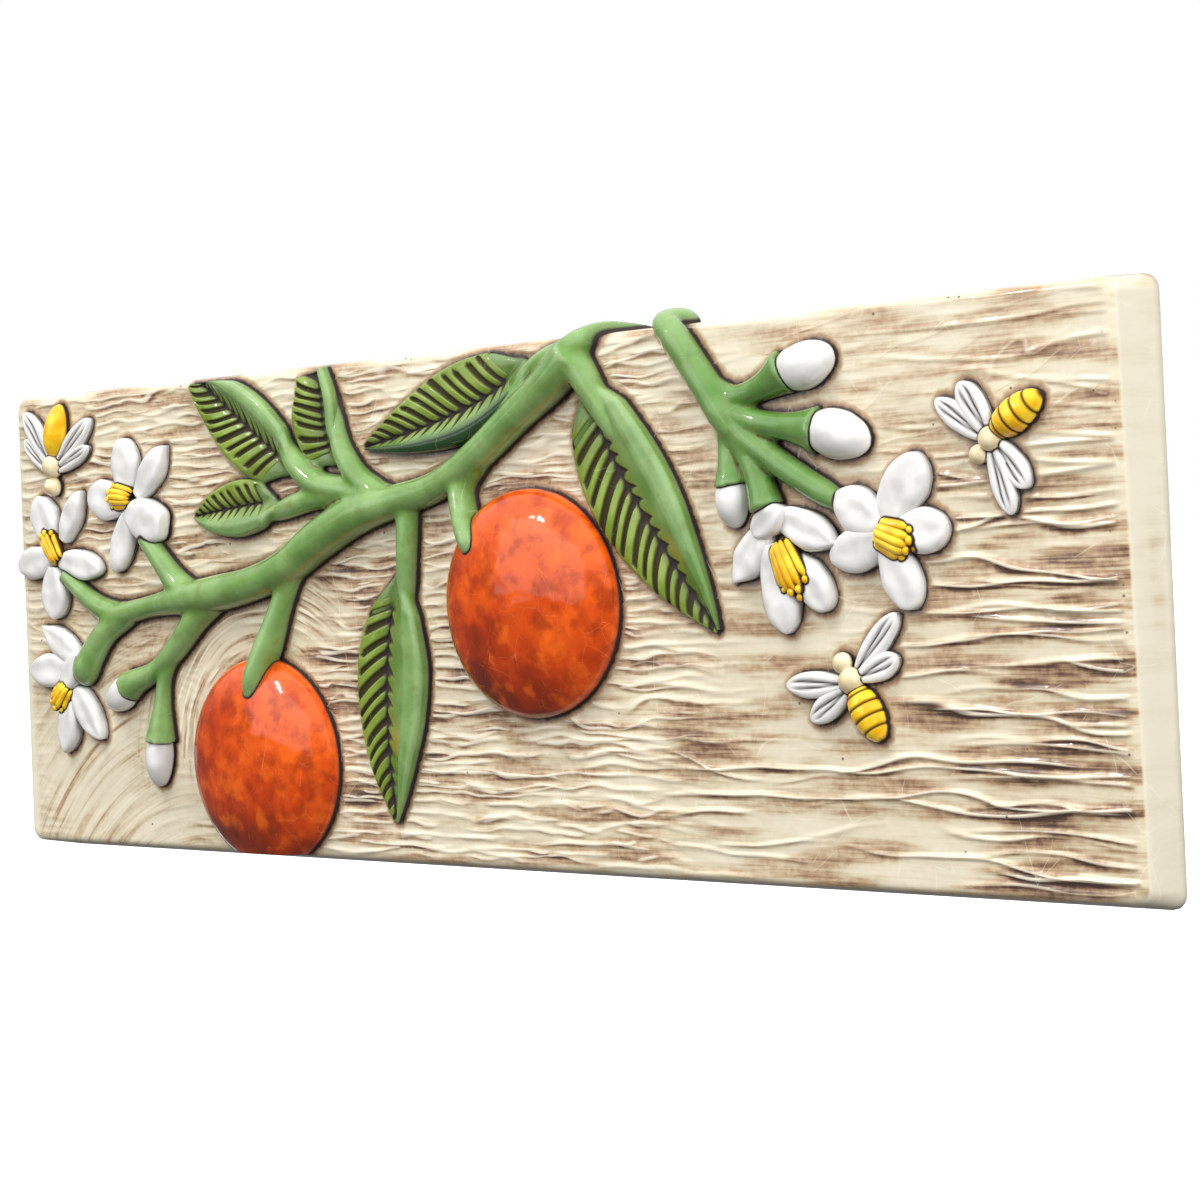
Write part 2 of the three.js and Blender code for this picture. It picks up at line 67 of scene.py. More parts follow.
ahead = Vector((-math.sin(YAW) * math.cos(PITCH), math.cos(YAW) * math.cos(PITCH), math.sin(PITCH)))
level_right = ahead.cross(Vector((0, 0, 1))).normalized()
level_up = level_right.cross(ahead)
right = level_right * math.cos(ROLL) + level_up * math.sin(ROLL)
up = level_up * math.cos(ROLL) - level_right * math.sin(ROLL)

camera = bpy.data.objects.new("camera", bpy.data.cameras.new("camera"))
camera.data.sensor_width = SENSOR_WIDTH
camera.data.lens = SENSOR_WIDTH * FOCAL_PIXELS / IMAGE_WIDTH
camera.matrix_world = Matrix.Translation(EYE) @ Matrix((right, up, -ahead)).transposed().to_4x4()
scene.collection.objects.link(camera)
scene.camera = camera
print("camera", round(camera.data.lens, 1), "mm lens,", round(EYE.length, 2), "m from the tile")

# %% Floor
FLOOR_LEVEL = -0.5
FLOOR_REACH = 40
FLOOR_PAINT = (0.93, 0.93, 0.93, 1)
FLOOR_ROUGHNESS = 0.9
FLOOR_GLOW = 0.8  # lights the floor up to the white of a paper roll

floor_ways = ((-1, -1), (1, -1), (1, 1), (-1, 1))
floor_corners = [(x * FLOOR_REACH, y * FLOOR_REACH, FLOOR_LEVEL) for x, y in floor_ways]
floor_mesh = bpy.data.meshes.new("floor")
floor_mesh.from_pydata(floor_corners, [], [(0, 1, 2, 3)])
floor = bpy.data.objects.new("floor", floor_mesh)
scene.collection.objects.link(floor)
floor_paint = bpy.data.materials.new("floor_paint")
floor_paint.use_nodes = True
floor_shader = floor_paint.node_tree.nodes["Principled BSDF"]
floor_shader.inputs["Base Color"].default_value = FLOOR_PAINT
floor_shader.inputs["Roughness"].default_value = FLOOR_ROUGHNESS
floor_shader.inputs["Emission Color"].default_value = (1, 1, 1, 1)
floor_shader.inputs["Emission Strength"].default_value = FLOOR_GLOW
floor_mesh.materials.append(floor_paint)
floor.visible_diffuse = False
floor.visible_glossy = False
print("floor", -FLOOR_LEVEL, "m below the tile's middle")

# %% [markdown]
# ## Node helpers
# The light, the glazes and the shapes are all node trees. A few short helpers keep them readable: one adds
# any node and fills its inputs, and the rest are the handful of operations that are used again and again.

# %% Node helpers
SHIFT_RATIOS = (1, 0.7, 1.3)  # how far a shift moves a pattern along x, y and z


def node(tree, kind, inputs=(), **settings):
    """Adds a node, sets its properties, and fills its inputs with values or with other nodes' outputs."""
    made = tree.nodes.new(kind)
    for name, value in settings.items():
        setattr(made, name, value)
    for key, value in dict(inputs).items():
        if isinstance(value, bpy.types.NodeSocket):
            tree.links.new(value, made.inputs[key])
        else:
            made.inputs[key].default_value = value
    return made


def maths(tree, operation, first, second=0.0):
    return node(tree, "ShaderNodeMath", {0: first, 1: second}, operation=operation).outputs[0]


def times(tree, first, second):
    return maths(tree, "MULTIPLY", first, second)


def plus(tree, first, second):
    return maths(tree, "ADD", first, second)


def minus(tree, first, second):
    return maths(tree, "SUBTRACT", first, second)


def fade(tree, value, start, end, low=0.0, high=1.0):
    """Runs smoothly from low to high as value goes from start to end."""
    inputs = {0: value, 1: start, 2: end, 3: low, 4: high}
    return node(tree, "ShaderNodeMapRange", inputs, interpolation_type="SMOOTHSTEP").outputs[0]


def even(length):
    return (length, length, length)


def stretched(tree, place, lengths, shift=0.0):
    """Coordinates in which a pattern's grains are as long as the lengths say, in the place's own unit."""
    scale = [1 / length for length in lengths]
    moved = [shift * ratio for ratio in SHIFT_RATIOS]
    return node(tree, "ShaderNodeMapping", {"Vector": place, "Scale": scale, "Location": moved}).outputs[0]


def mottle(tree, place, lengths, shift=0.0, detail=2.0):
    """Soft noise from 0 to 1 with grains of these lengths."""
    inputs = {"Vector": stretched(tree, place, lengths, shift), "Scale": 1.0, "Detail": detail}
    return node(tree, "ShaderNodeTexNoise", inputs).outputs[0]


def mixed(tree, share, first, second):
    """The first colour, or as much of the second as the share says. A mix node has its colours at 6 and 7."""
    inputs = {0: share, 6: first, 7: second}
    return node(tree, "ShaderNodeMix", inputs, data_type="RGBA").outputs[2]


def along_axis(tree, vector, axis):
    return node(tree, "ShaderNodeSeparateXYZ", {0: vector}).outputs[axis]


def vector_maths(tree, operation, first, second):
    return node(tree, "ShaderNodeVectorMath", {0: first, 1: second}, operation=operation)


def scaled(tree, vector, factor):
    return node(tree, "ShaderNodeVectorMath", {0: vector, 3: factor}, operation="SCALE").outputs[0]


print("node helpers ready")

# %% [markdown]
# ## Light
# Glossy forms show what is round them, so the room is a bright ceiling that fades to a dim floor. Three broad
# lamps light the clay from above, in front and the right-hand end. They are hidden from reflections, where
# they would be large white patches. A soft box in front draws the milky sheen with a straight lower edge
# across the oranges, a strip on the far left draws the pale band along their left edge, and one small lamp
# gives the sparkles of a wet-looking glaze.

# %% Lamps
LAMPS = {
    "upper_lamp": {"place": (-0.3, -1.0, 1.8), "size": (1.0, 1.0), "power": 30, "mirrored": False},
    "front_lamp": {"place": (0.5, -2.0, 0.5), "size": (2.0, 2.0), "power": 8, "mirrored": False},
    "side_lamp": {"place": (2.0, -0.6, 0.7), "size": (1.0, 1.0), "power": 33, "mirrored": False},
    "soft_box": {"place": (-0.7, -1.75, 0.5), "size": (1.9, 1.0), "power": 6, "mirrored": True},
    "left_strip": {"place": (-2.4, 0.6, -0.1), "size": (0.3, 2.0), "power": 2.5, "mirrored": True},
    "sparkle": {"place": (-0.9, -1.5, 1.1), "size": (0.05, 0.05), "power": 4, "mirrored": True},
}

for lamp_name, lamp in LAMPS.items():
    light = bpy.data.lights.new(lamp_name, "AREA")
    light.shape = "RECTANGLE"
    light.size, light.size_y = lamp["size"]
    light.energy = lamp["power"]
    lamp_object = bpy.data.objects.new(lamp_name, light)
    lamp_object.location = lamp["place"]
    lamp_object.visible_glossy = lamp["mirrored"]
    lamp_object.rotation_euler = (-Vector(lamp["place"])).to_track_quat("-Z", "Y").to_euler()
    scene.collection.objects.link(lamp_object)
print(len(LAMPS), "lamps")

# %% Room
CEILING = (1.0, 1.0, 1.0, 1)
BELOW = (0.16, 0.155, 0.15, 1)
FADE_FROM = 0.05  # heights on the horizon between which the room goes from dim to bright
FADE_TO = 0.6

room = bpy.data.worlds.new("bright_room")
room.use_nodes = True
scene.world = room
sky = room.node_tree
direction = node(sky, "ShaderNodeTexCoord").outputs["Generated"]
tones = mixed(sky, fade(sky, along_axis(sky, direction, "Z"), FADE_FROM, FADE_TO), BELOW, CEILING)
room_light = node(sky, "ShaderNodeBackground", {"Color": tones}).outputs[0]
backdrop = node(sky, "ShaderNodeBackground", {"Color": (1, 1, 1, 1)}).outputs[0]
seen = node(sky, "ShaderNodeLightPath").outputs["Is Camera Ray"]
whole = node(sky, "ShaderNodeMixShader", {0: seen, 1: room_light, 2: backdrop}).outputs[0]
sky.links.new(whole, sky.nodes["World Output"].inputs["Surface"])
scene.view_settings.view_transform = "Standard"
print("room bright from", FADE_TO, "upwards")

# %% [markdown]
# ## The glazes
# All the glazes behave alike. Each is a thin coat of coloured glass over the clay: thick and dark where it
# pools in a hollow, thin and pale over a crest, and stopped by a dark line of oxide wherever a form meets
# the ground or another form. Three measurements made on the meshes later, `hollow`, `foot` and `contact`,
# tell the materials where that is. So one function makes the coat, and each glaze only says how its own
# colour runs.

# %% Colours, measures and cracks
CRACK_BEND = 0.8  # how far a crack bends, as a share of the size of a cell
CRACK_CELL = (1, 4, 1.3)  # proportions of a cell
CRACK_PATCH = 0.6  # size of the patches in which the cracks show
CRACK_SHOWN = (0.45, 0.6)  # levels of a slow noise between which they come out


def paint(red, green, blue):
    """A colour as seen on the tile, from 0 to 255, turned into light values."""
    shares = [level / 255 for level in (red, green, blue)]
    return [x / 12.92 if x <= 0.04045 else ((x + 0.055) / 1.055) ** 2.4 for x in shares] + [1]


def painted(colours):
    return {name: paint(*levels) for name, levels in colours.items()}


def measured(tree, name):
    return node(tree, "ShaderNodeAttribute", attribute_name=name).outputs["Fac"]


def millimetres(tree):
    coordinates = node(tree, "ShaderNodeTexCoord").outputs["Object"]
    return node(tree, "ShaderNodeMapping", {"Vector": coordinates, "Scale": even(1 / MM)}).outputs[0]


def crackle(tree, place, size, width):
    """1 on the fine cracks of an old glaze, 0 between them."""
    bent = node(tree, "ShaderNodeTexNoise", {"Vector": stretched(tree, place, even(size * 2)), "Scale": 1.0})
    pushed = scaled(tree, bent.outputs["Color"], size * CRACK_BEND)
    moved = vector_maths(tree, "ADD", place, pushed).outputs[0]
    cell = [size * share for share in CRACK_CELL]
    inputs = {"Vector": stretched(tree, moved, cell, 3.0), "Scale": 1.0}
    cells = node(tree, "ShaderNodeTexVoronoi", inputs, feature="DISTANCE_TO_EDGE")
    shown = fade(tree, mottle(tree, place, even(size * CRACK_PATCH), 14.0), *CRACK_SHOWN)
    return times(tree, fade(tree, cells.outputs["Distance"], width / size, 0.0), shown)


print("colours are given as they are seen on the tile")

# %% The coat that all glazes share
OXIDE = (58, 50, 50)
OXIDE_ROUGHNESS = 0.6
OXIDE_SPECULAR = 0.15
SPECULAR = 0.5
COAT_ROUGHNESS = 0.03
RIPPLE_GRAIN = 7
RIM = 2.0  # height above the ground, in millimetres, where the oxide line ends
RIM_FULL = 0.43  # share of that height up to which the line is fully dark
RIM_WANDER = 0.5  # how far that height strays
RIM_GRAIN = 5
SEAM = 0.75  # width of the oxide line between two forms
SEAM_FULL = 0.25  # share of that width in which the line is fully dark


def oxide_line(tree, place, seam, rim):
    """1 at the foot of each form, up to the rim, and where two forms meet."""
    stray = minus(tree, mottle(tree, place, even(RIM_GRAIN), 9.0), 0.5)
    wander = times(tree, stray, RIM_WANDER)
    foot = fade(tree, plus(tree, measured(tree, "foot"), wander), rim, rim * RIM_FULL)
    joint = fade(tree, measured(tree, "contact"), seam, seam * SEAM_FULL)
    return maths(tree, "MAXIMUM", foot, joint)


def glaze(name, colour_run, seam=SEAM, rim=RIM, roughness=0.13, ripple=0.25, coat=0.5):
    """A glossy coat in the colour of colour_run(tree, place), with oxide lines and a slight ripple."""
    material = bpy.data.materials.new(name)
    material.use_nodes = True
    tree = material.node_tree
    place = millimetres(tree)
    colour = colour_run(tree, place)
    dull = measured(tree, "groove")
    if seam:
        line = oxide_line(tree, place, seam, rim)
        colour = mixed(tree, line, colour, paint(*OXIDE))
        dull = maths(tree, "MAXIMUM", line, dull)
    swell = mottle(tree, place, even(RIPPLE_GRAIN), shift=5.0, detail=1.0)
    bump = node(tree, "ShaderNodeBump", {"Height": swell, "Strength": ripple, "Distance": MM})
    shader = tree.nodes["Principled BSDF"]
    shader.inputs["Coat Roughness"].default_value = COAT_ROUGHNESS
    tree.links.new(fade(tree, dull, 0.0, 1.0, roughness, OXIDE_ROUGHNESS), shader.inputs["Roughness"])
    tree.links.new(fade(tree, dull, 0.0, 0.6, coat, 0.0), shader.inputs["Coat Weight"])
    tree.links.new(fade(tree, dull, 0.0, 1.0, SPECULAR, OXIDE_SPECULAR), shader.inputs["Specular IOR Level"])
    tree.links.new(colour, shader.inputs["Base Color"])
    tree.links.new(bump.outputs[0], shader.inputs["Normal"])
    return material


print("oxide line up to", RIM, "mm above the ground")

# %% Green, on the branch and the leaves
SPRAY = (88, 112)  # places along the tile between which the green deepens towards the right-hand spray
GREENS = painted({
    "grass": (92, 136, 54),
    "pale grass": (126, 162, 90),
    "crest": (160, 186, 138),
    "olive": (118, 126, 62),
    "spray": (62, 112, 34),
    "bottle": (30, 60, 26),
    "lime": (112, 138, 36),
    "pale lime": (146, 170, 70),
    "thin": (78, 92, 44),
    "groove edge": (90, 90, 36),
    "groove": (58, 54, 30),
    "crack": (196, 214, 176),
})


def green_run(tree, place):
    """Grass green that pales on crests, partly thin glaze and partly a painted sheen, lime on veined halves
    and bottle green where a leaf is shaded.
    """
    cloud = mottle(tree, place, even(16), shift=1.0, detail=4.0)
    fine = mottle(tree, place, even(5), shift=12.0, detail=3.0)
    hollow = measured(tree, "hollow")
    stem = mixed(tree, fade(tree, cloud, 0.33, 0.67), GREENS["grass"], GREENS["pale grass"])
    # paler on crests: partly thin glaze breaking over them, partly a painted sheen
    stem = mixed(tree, fade(tree, hollow, 0.0, -0.3, high=0.45), stem, GREENS["crest"])
    stem = mixed(tree, fade(tree, fine, 0.5, 0.75, high=0.5), stem, GREENS["olive"])
    stem = mixed(tree, fade(tree, along_axis(tree, place, "X"), *SPRAY, high=0.42), stem, GREENS["spray"])
    stem = mixed(tree, measured(tree, "shaded"), stem, GREENS["bottle"])
    lime = mixed(tree, fade(tree, cloud, 0.3, 0.7), GREENS["lime"], GREENS["pale lime"])
    colour = mixed(tree, measured(tree, "veined"), stem, lime)
    thin = fade(tree, measured(tree, "foot"), 4.4, 1.4, high=0.5)
    colour = mixed(tree, thin, colour, GREENS["thin"])
    pooled = fade(tree, hollow, 0.08, 0.4, high=0.7)
    grooves = maths(tree, "MAXIMUM", pooled, measured(tree, "groove"))
    colour = mixed(tree, fade(tree, grooves, 0.02, 0.4), colour, GREENS["groove edge"])
    colour = mixed(tree, fade(tree, grooves, 0.25, 0.8), colour, GREENS["groove"])
    cracks = times(tree, crackle(tree, place, size=12, width=0.08), 0.25)
    return mixed(tree, cracks, colour, GREENS["crack"])


green_glaze = glaze("green_glaze", green_run)
print("green in", len(GREENS), "tones")

# %% Orange
ORANGE_TONES = painted({
    "bright": (228, 90, 16),
    "deep": (186, 55, 2),
    "brown": (110, 33, 3),
    "grain": (140, 42, 6),
    "glow": (244, 108, 22),
    "crack": (255, 170, 110),
})


def orange_run(tree, place):
    """Deep orange with a fine grain and broken crackle, and painted shade that darkens and browns it towards
    the lower left.
    """
    cloud = mottle(tree, place, even(20), shift=2.0, detail=5.0)
    # painted shade: darker and browner towards the lower left, brighter towards the upper right, made uneven
    # by a cloud
    low = plus(tree, measured(tree, "low"), fade(tree, cloud, 0.25, 0.75, 0.5, -0.5))
    colour = mixed(tree, fade(tree, low, -0.7, 0.5), ORANGE_TONES["bright"], ORANGE_TONES["deep"])
    colour = mixed(tree, fade(tree, low, 0.0, 1.05), colour, ORANGE_TONES["brown"])
    grain = mottle(tree, place, even(7), shift=4.0, detail=6.0)
    colour = mixed(tree, fade(tree, grain, 0.43, 0.66, high=0.62), colour, ORANGE_TONES["grain"])
    glow = mottle(tree, place, even(8), shift=7.0, detail=6.0)
    colour = mixed(tree, fade(tree, glow, 0.5, 0.72, high=0.55), colour, ORANGE_TONES["glow"])
    cracks = times(tree, crackle(tree, place, size=9, width=0.07), 0.3)
    return mixed(tree, cracks, colour, ORANGE_TONES["crack"])


orange_glaze = glaze("orange_glaze", orange_run, roughness=0.11, ripple=0.35, coat=0.4)
print("orange in", len(ORANGE_TONES), "tones")

# %% White, yellow and cream
PETAL_TONES = painted({"thin": (216, 215, 212), "thick": (231, 230, 228), "hollow": (110, 100, 96)})
YELLOW_TONES = painted({"deep": (234, 174, 16), "pale": (250, 208, 44), "groove": (62, 40, 14)})
CREAM_TONES = painted({"deep": (216, 198, 156), "pale": (238, 224, 192)})


def white_run(tree, place):
    """Opaque white, faintly grey where it is thin, with painted shade in its hollows and dark lines where it
    was pressed.
    """
    cloud = mottle(tree, place, even(9), shift=6.0)
    colour = mixed(tree, fade(tree, cloud, 0.35, 0.7), PETAL_TONES["thin"], PETAL_TONES["thick"])
    # painted shade in the hollows of petals, buds and wings
    pooled = fade(tree, measured(tree, "hollow"), 0.1, 0.4, high=0.8)
    colour = mixed(tree, pooled, colour, PETAL_TONES["hollow"])
    return mixed(tree, measured(tree, "groove"), colour, paint(*OXIDE))


def yellow_run(tree, place):
    """Egg yellow that darkens to brown in every groove."""
    cloud = mottle(tree, place, even(6), shift=8.0)
    colour = mixed(tree, fade(tree, cloud, 0.35, 0.65), YELLOW_TONES["deep"], YELLOW_TONES["pale"])
    return mixed(tree, measured(tree, "groove"), colour, YELLOW_TONES["groove"])


def cream_run(tree, place):
    """The ground's cream, as it lies on the bees' heads and backs."""
    cloud = mottle(tree, place, even(5), shift=3.0)
    return mixed(tree, fade(tree, cloud, 0.35, 0.7), CREAM_TONES["deep"], CREAM_TONES["pale"])


white_glaze = glaze("white_glaze", white_run, rim=1.5, roughness=0.1)
yellow_glaze = glaze("yellow_glaze", yellow_run, seam=0.4, roughness=0.1)
cream_glaze = glaze("cream_glaze", cream_run, seam=0.5)
print("glazes:", [m.name for m in bpy.data.materials if m.name.endswith("glaze")])

# %% [markdown]
# ## Lines and skins
# Stems, leaves and petals are all drawn on the face of the tile as x along it, z up it and a height above its
# ground. A smooth line through a few points gives their run, and a skin over a row of rings gives their
# surface.


# %% Lines and skins
def smooth_line(points, samples):
    """Points along a smooth line through all the given ones, each with its widths and lifts carried along."""
    points = np.array(points, float)
    guide = np.vstack([2 * points[0] - points[1], points, 2 * points[-1] - points[-2]])
    step = np.linalg.norm(np.diff(guide[:, :2], axis=0), axis=1) ** 0.5
    place = np.linspace(0, len(points) - 1, samples)
    index = np.minimum(place.astype(int), len(points) - 2)
    u = (place - index)[:, None]
    before, start, end, after = (guide[index + k] for k in range(4))
    d0, d1, d2 = (step[index + k][:, None] for k in range(3))
    leave = ((start - before) / d0 - (end - before) / (d0 + d1) + (end - start) / d1) * d1
    arrive = ((end - start) / d1 - (after - start) / (d1 + d2) + (after - end) / d2) * d1
    return (
        (2 * u**3 - 3 * u**2 + 1) * start
        + (u**3 - 2 * u**2 + u) * leave
        + (3 * u**2 - 2 * u**3) * end
        + (u**3 - u**2) * arrive
    )


def ease(value, start, end):
    """Goes smoothly from 0 at start to 1 at end."""
    share = np.clip((value - start) / (end - start), 0, 1)
    return share * share * (3 - 2 * share)


def skin(rings):
    """Points and faces of a closed skin over rings of equally many points, capped at both ends."""
    count, around, _ = rings.shape
    faces = []
    for i in range(count - 1):
        for j in range(around):
            a = i * around + j
            b = i * around + (j + 1) % around
            faces.append((a, b, b + around, a + around))
    faces.append(tuple(range(around))[::-1])
    faces.append(tuple(range((count - 1) * around, count * around)))
    return rings.reshape(-1, 3), faces


print("lines and skins ready")


# %% Objects and what is stored on their points
def add_object(name, data):
    made = bpy.data.objects.new(name, data)
    scene.collection.objects.link(made)
    return made


def mesh_object(name, points, faces):
    """An object from points and faces, with every face turned outwards."""
    mesh = bpy.data.meshes.new(name)
    mesh.from_pydata(np.asarray(points).tolist(), [], faces)
    if faces:
        shell = bmesh.new()
        shell.from_mesh(mesh)
        bmesh.ops.recalc_face_normals(shell, faces=shell.faces)
        shell.to_mesh(mesh)
        shell.free()
    return add_object(name, mesh)


def store(mesh, label, values):
    """Keeps one number for every point of a mesh, under a label that the glazes and trees can read."""
    mesh.attributes.new(label, "FLOAT", "POINT").data.foreach_set("value", values)


def triangle_count(mesh):
    return sum(len(face.vertices) - 2 for face in mesh.polygons)


def worked_out(owner):
    """The mesh that an object's modifiers give."""
    depsgraph = bpy.context.evaluated_depsgraph_get()
    return bpy.data.meshes.new_from_object(
        owner.evaluated_get(depsgraph), preserve_all_data_layers=True, depsgraph=depsgraph
    )


def settle(owner, name):
    """Turns an object and its modifiers into a plain mesh object of this name."""
    mesh = worked_out(owner)
    bpy.data.objects.remove(owner)
    mesh.name = name
    print(name, "has", triangle_count(mesh), "triangles")
    return add_object(name, mesh)


def merged(name, parts):
    """One object from several, with their faces and the measure of their grooves copied into one mesh."""
    points = []
    faces = []
    grooves = []
    for part in parts:
        start = len(points)
        points.extend(vertex.co[:] for vertex in part.data.vertices)
        faces.extend(tuple(start + i for i in face.vertices) for face in part.data.polygons)
        measure = part.data.attributes.get("groove")
        grooves.extend([item.value for item in measure.data] if measure else [0] * len(part.data.vertices))
        bpy.data.objects.remove(part)
    whole = mesh_object(name, points, faces)
    store(whole.data, "groove", grooves)
    return whole


print("object helpers ready")

# %% Shape trees
THICKNESS = 22


def start_tree(name, inputs):
    """A shape tree with named inputs. Every tree also takes the glaze that its result wears."""
    tree = bpy.data.node_groups.new(name, "GeometryNodeTree")
    for label, kind in [("Geometry", "Geometry"), *inputs, ("Glaze", "Material")]:
        tree.interface.new_socket(label, in_out="INPUT", socket_type="NodeSocket" + kind)
    tree.interface.new_socket("Geometry", in_out="OUTPUT", socket_type="NodeSocketGeometry")
    return tree, tree.nodes.new("NodeGroupInput").outputs


def end_tree(tree, geometry, given):
    """Closes a tree: real faces instead of instances, shaded smooth, in the glaze."""
    real = node(tree, "GeometryNodeRealizeInstances", {0: geometry}).outputs[0]
    smooth = node(tree, "GeometryNodeSetShadeSmooth", {"Geometry": real}).outputs[0]
    inputs = {"Geometry": smooth, "Material": given["Glaze"]}
    worn = node(tree, "GeometryNodeSetMaterial", inputs).outputs[0]
    node(tree, "NodeGroupOutput", {0: worn})


def use_tree(owner, tree, **values):
    modifier = owner.modifiers.new(tree.name, "NODES")
    modifier.node_group = tree
    for socket in tree.interface.items_tree:
        if socket.in_out == "INPUT" and socket.name in values:
            modifier[socket.identifier] = values[socket.name]


def shape_of(tree, owner):
    return node(tree, "GeometryNodeObjectInfo", {"Object": owner}).outputs["Geometry"]


def stored(tree, label, kind="FLOAT"):
    return node(tree, "GeometryNodeInputNamedAttribute", {"Name": label}, data_type=kind).outputs[0]


def stand_on_face(tree, geometry):
    """Turns what was drawn flat, with its height along Z, so that it stands on the front of the tile."""
    front = (0, -THICKNESS * MM, 0)
    inputs = {"Geometry": geometry, "Rotation": (math.pi / 2, 0, 0), "Translation": front}
    return node(tree, "GeometryNodeTransform", inputs).outputs[0]


def on_face(x, z, height):
    """Points on the tile, in metres, from places on its face and heights in millimetres."""
    return np.stack([x, -THICKNESS - height, z], axis=-1) * MM


print("forms stand on a slab", THICKNESS, "mm thick")

# %% [markdown]
# ## The leaves
# Each leaf has a midrib, a half with pressed strokes and a smooth half that rolls up and over. A leaf is a
# skin over sections along its midrib. The sections lean towards the tip on both sides, so a stroke that
# follows one section becomes a pair of veins, and the whole leaf follows from its midrib and two widths. The
# strokes are kept as a measure called `groove`, because the oxide in them is as dark as they are deep.

# %% Leaves, in millimetres and in shares of their length or width
# midrib: points from the stem to the tip. side: 1 or -1, where the veined half lies. veined, smooth: widths
# of the halves. stem: half width where the smooth half joins its stem. widest: place of the greatest width.
# margin, teeth: how far the strokes reach on the veined and on the smooth half. shade: how dark the roll is.
LEAVES = [
    {"midrib": [(-86, 51), (-106, 65), (-126, 79.5), (-150, 96.5)], "side": 1, "veined": 16.5, "smooth": 13.5,
     "stem": 9, "widest": 0.42, "veins": 15, "margin": 0.78, "teeth": 0.66, "slant": 0.17, "top": 88.2},
    {"midrib": [(-97, 42), (-115, 41), (-132, 39.5), (-147, 38)], "side": -1, "veined": 10, "smooth": 11.5,
     "stem": 7.5, "widest": 0.4, "veins": 11, "margin": 0.7, "teeth": 0.6, "shade": 0.3},
    {"midrib": [(-64, 52), (-70.5, 65), (-72, 80), (-77, 104)], "side": 1, "veined": 16, "smooth": 8.5,
     "stem": 7.5, "widest": 0.5, "veins": 10, "margin": 0.82, "teeth": 0.4, "end": 0.78},
    {"midrib": [(35, 84), (10, 72), (-18, 64.5), (-52, 58.5)], "side": -1, "veined": 16.5, "smooth": 11.5,
     "stem": 7, "widest": 0.45, "veins": 15, "margin": 0.86, "teeth": 0.6, "shade": 1.0, "slant": 0.16},
    {"midrib": [(-35, 18), (-43.5, -12), (-46, -45), (-44, -77)], "side": -1, "veined": 14.5, "smooth": 21,
     "stem": 8.4, "widest": 0.44, "veins": 16, "margin": 0.86, "teeth": 0.28, "blunt": 0.95},
    {"midrib": [(56, 77), (67.5, 50), (87, 20), (110.5, -10.5)], "side": -1, "veined": 17.5, "smooth": 18.5,
     "stem": 7.4, "widest": 0.47, "veins": 17, "margin": 0.9, "teeth": 0.3},
]
LEAF_TIP = 0.985
USUAL_LEAF = {
    "end": LEAF_TIP,  # where the leaf stops along its midrib
    "shade": 0.0,
    "slant": 0.12,  # how far the sections lean, as a share of the length
    "blunt": 0.62,  # the smaller, the broader the base
    "top": 94,  # height on the tile above which a leaf that runs past its edge is pressed flat
}
print(len(LEAVES), "leaves with", sum(leaf["veins"] for leaf in LEAVES), "pairs of veins")

# %% Strokes and widths of a leaf
STROKE_HALF = 0.21  # half width of a stroke, as a share of the way from one vein to the next
STROKE_EDGE = 0.14
STROKE_SWELL = 1.2  # how much wider a stroke is where it meets the midrib
STROKE_ENDS = (-0.1, 0.0, -0.05, 0.02)  # where a stroke starts and is full, beside the margin and the midrib
MIDRIB_HALF = 0.085
MIDRIB_BEADS = (0.8, 0.5)  # the midrib is a chain of beads: their mean width and how much it changes
TIP_BLUNT = 0.9


def leaf_width(t, widest, blunt):
    share = np.where(t < widest, 1 - t / widest, (t - widest) / (1 - widest))
    return np.cos(np.pi / 2 * np.clip(share, 0, 1)) ** np.where(t < widest, blunt, TIP_BLUNT)


def pressed_strokes(phase, across, margin, teeth):
    """1 in a stroke and along the midrib, 0 on the ridges. A stroke ends in a point at the teeth."""
    before, full, shy, past = STROKE_ENDS
    ends = [before - margin, full - margin, shy, past, teeth]
    halves = [-STROKE_EDGE, STROKE_HALF, STROKE_HALF, STROKE_HALF * STROKE_SWELL, -STROKE_EDGE]
    half = np.interp(across, ends, halves)
    stroke = ease(half - np.abs(phase), -STROKE_EDGE / 2, STROKE_EDGE / 2)
    mean, change = MIDRIB_BEADS
    beads = MIDRIB_HALF * (mean + change * np.cos(2 * np.pi * phase))
    return np.maximum(stroke, np.exp(-((across / beads) ** 2)))


print("strokes take up", 2 * STROKE_HALF, "of the way from vein to vein")

# %% Rings along a leaf
# Across a leaf, from the veined edge at -1 to the rolled edge at 1: place and height
LEAF_SECTION = [
    (-1, -1.5), (-1, 1.4), (-0.97, 2.6), (-0.8, 3.4), (-0.5, 3.4), (-0.18, 2.6), (-0.05, 1.9), (0.05, 2.0),
    (0.24, 2.9), (0.46, 4.2), (0.66, 5.1), (0.86, 4.9), (0.97, 3.1), (1, 1.4), (1, -1.5),
]
SECTION_SAMPLES = 58
TOP_FROM = 1.45  # height in the section above which a point is on top of the leaf
MIDRIB_SAMPLES = 400
STATIONS_A_VEIN = 12
STROKE_DEPTH = 1.0
STROKE_WANDER = 0.1  # how uneven the strokes are in place and in length
WANDER_WAVES = (2.4, 5.1)
STROKES_FROM = 0.05
STROKES_FULL = 0.13
LEAF_START = 0.03
THIN_END = 0.45  # height of a leaf at its ends, as a share of its full height
FULL_AFTER = 3.2  # how soon it gets to its full height
LEAF_TOP_EASE = 1.1
LEAF_TOP_LEAN = 1.4  # how far along the tile what is pressed goes back for each millimetre of height
LIME_EDGE = (0.05, 0.4)  # across the leaf, where the lime ends and the shade begins
SHADE_EDGE = (0.3, 0.6)
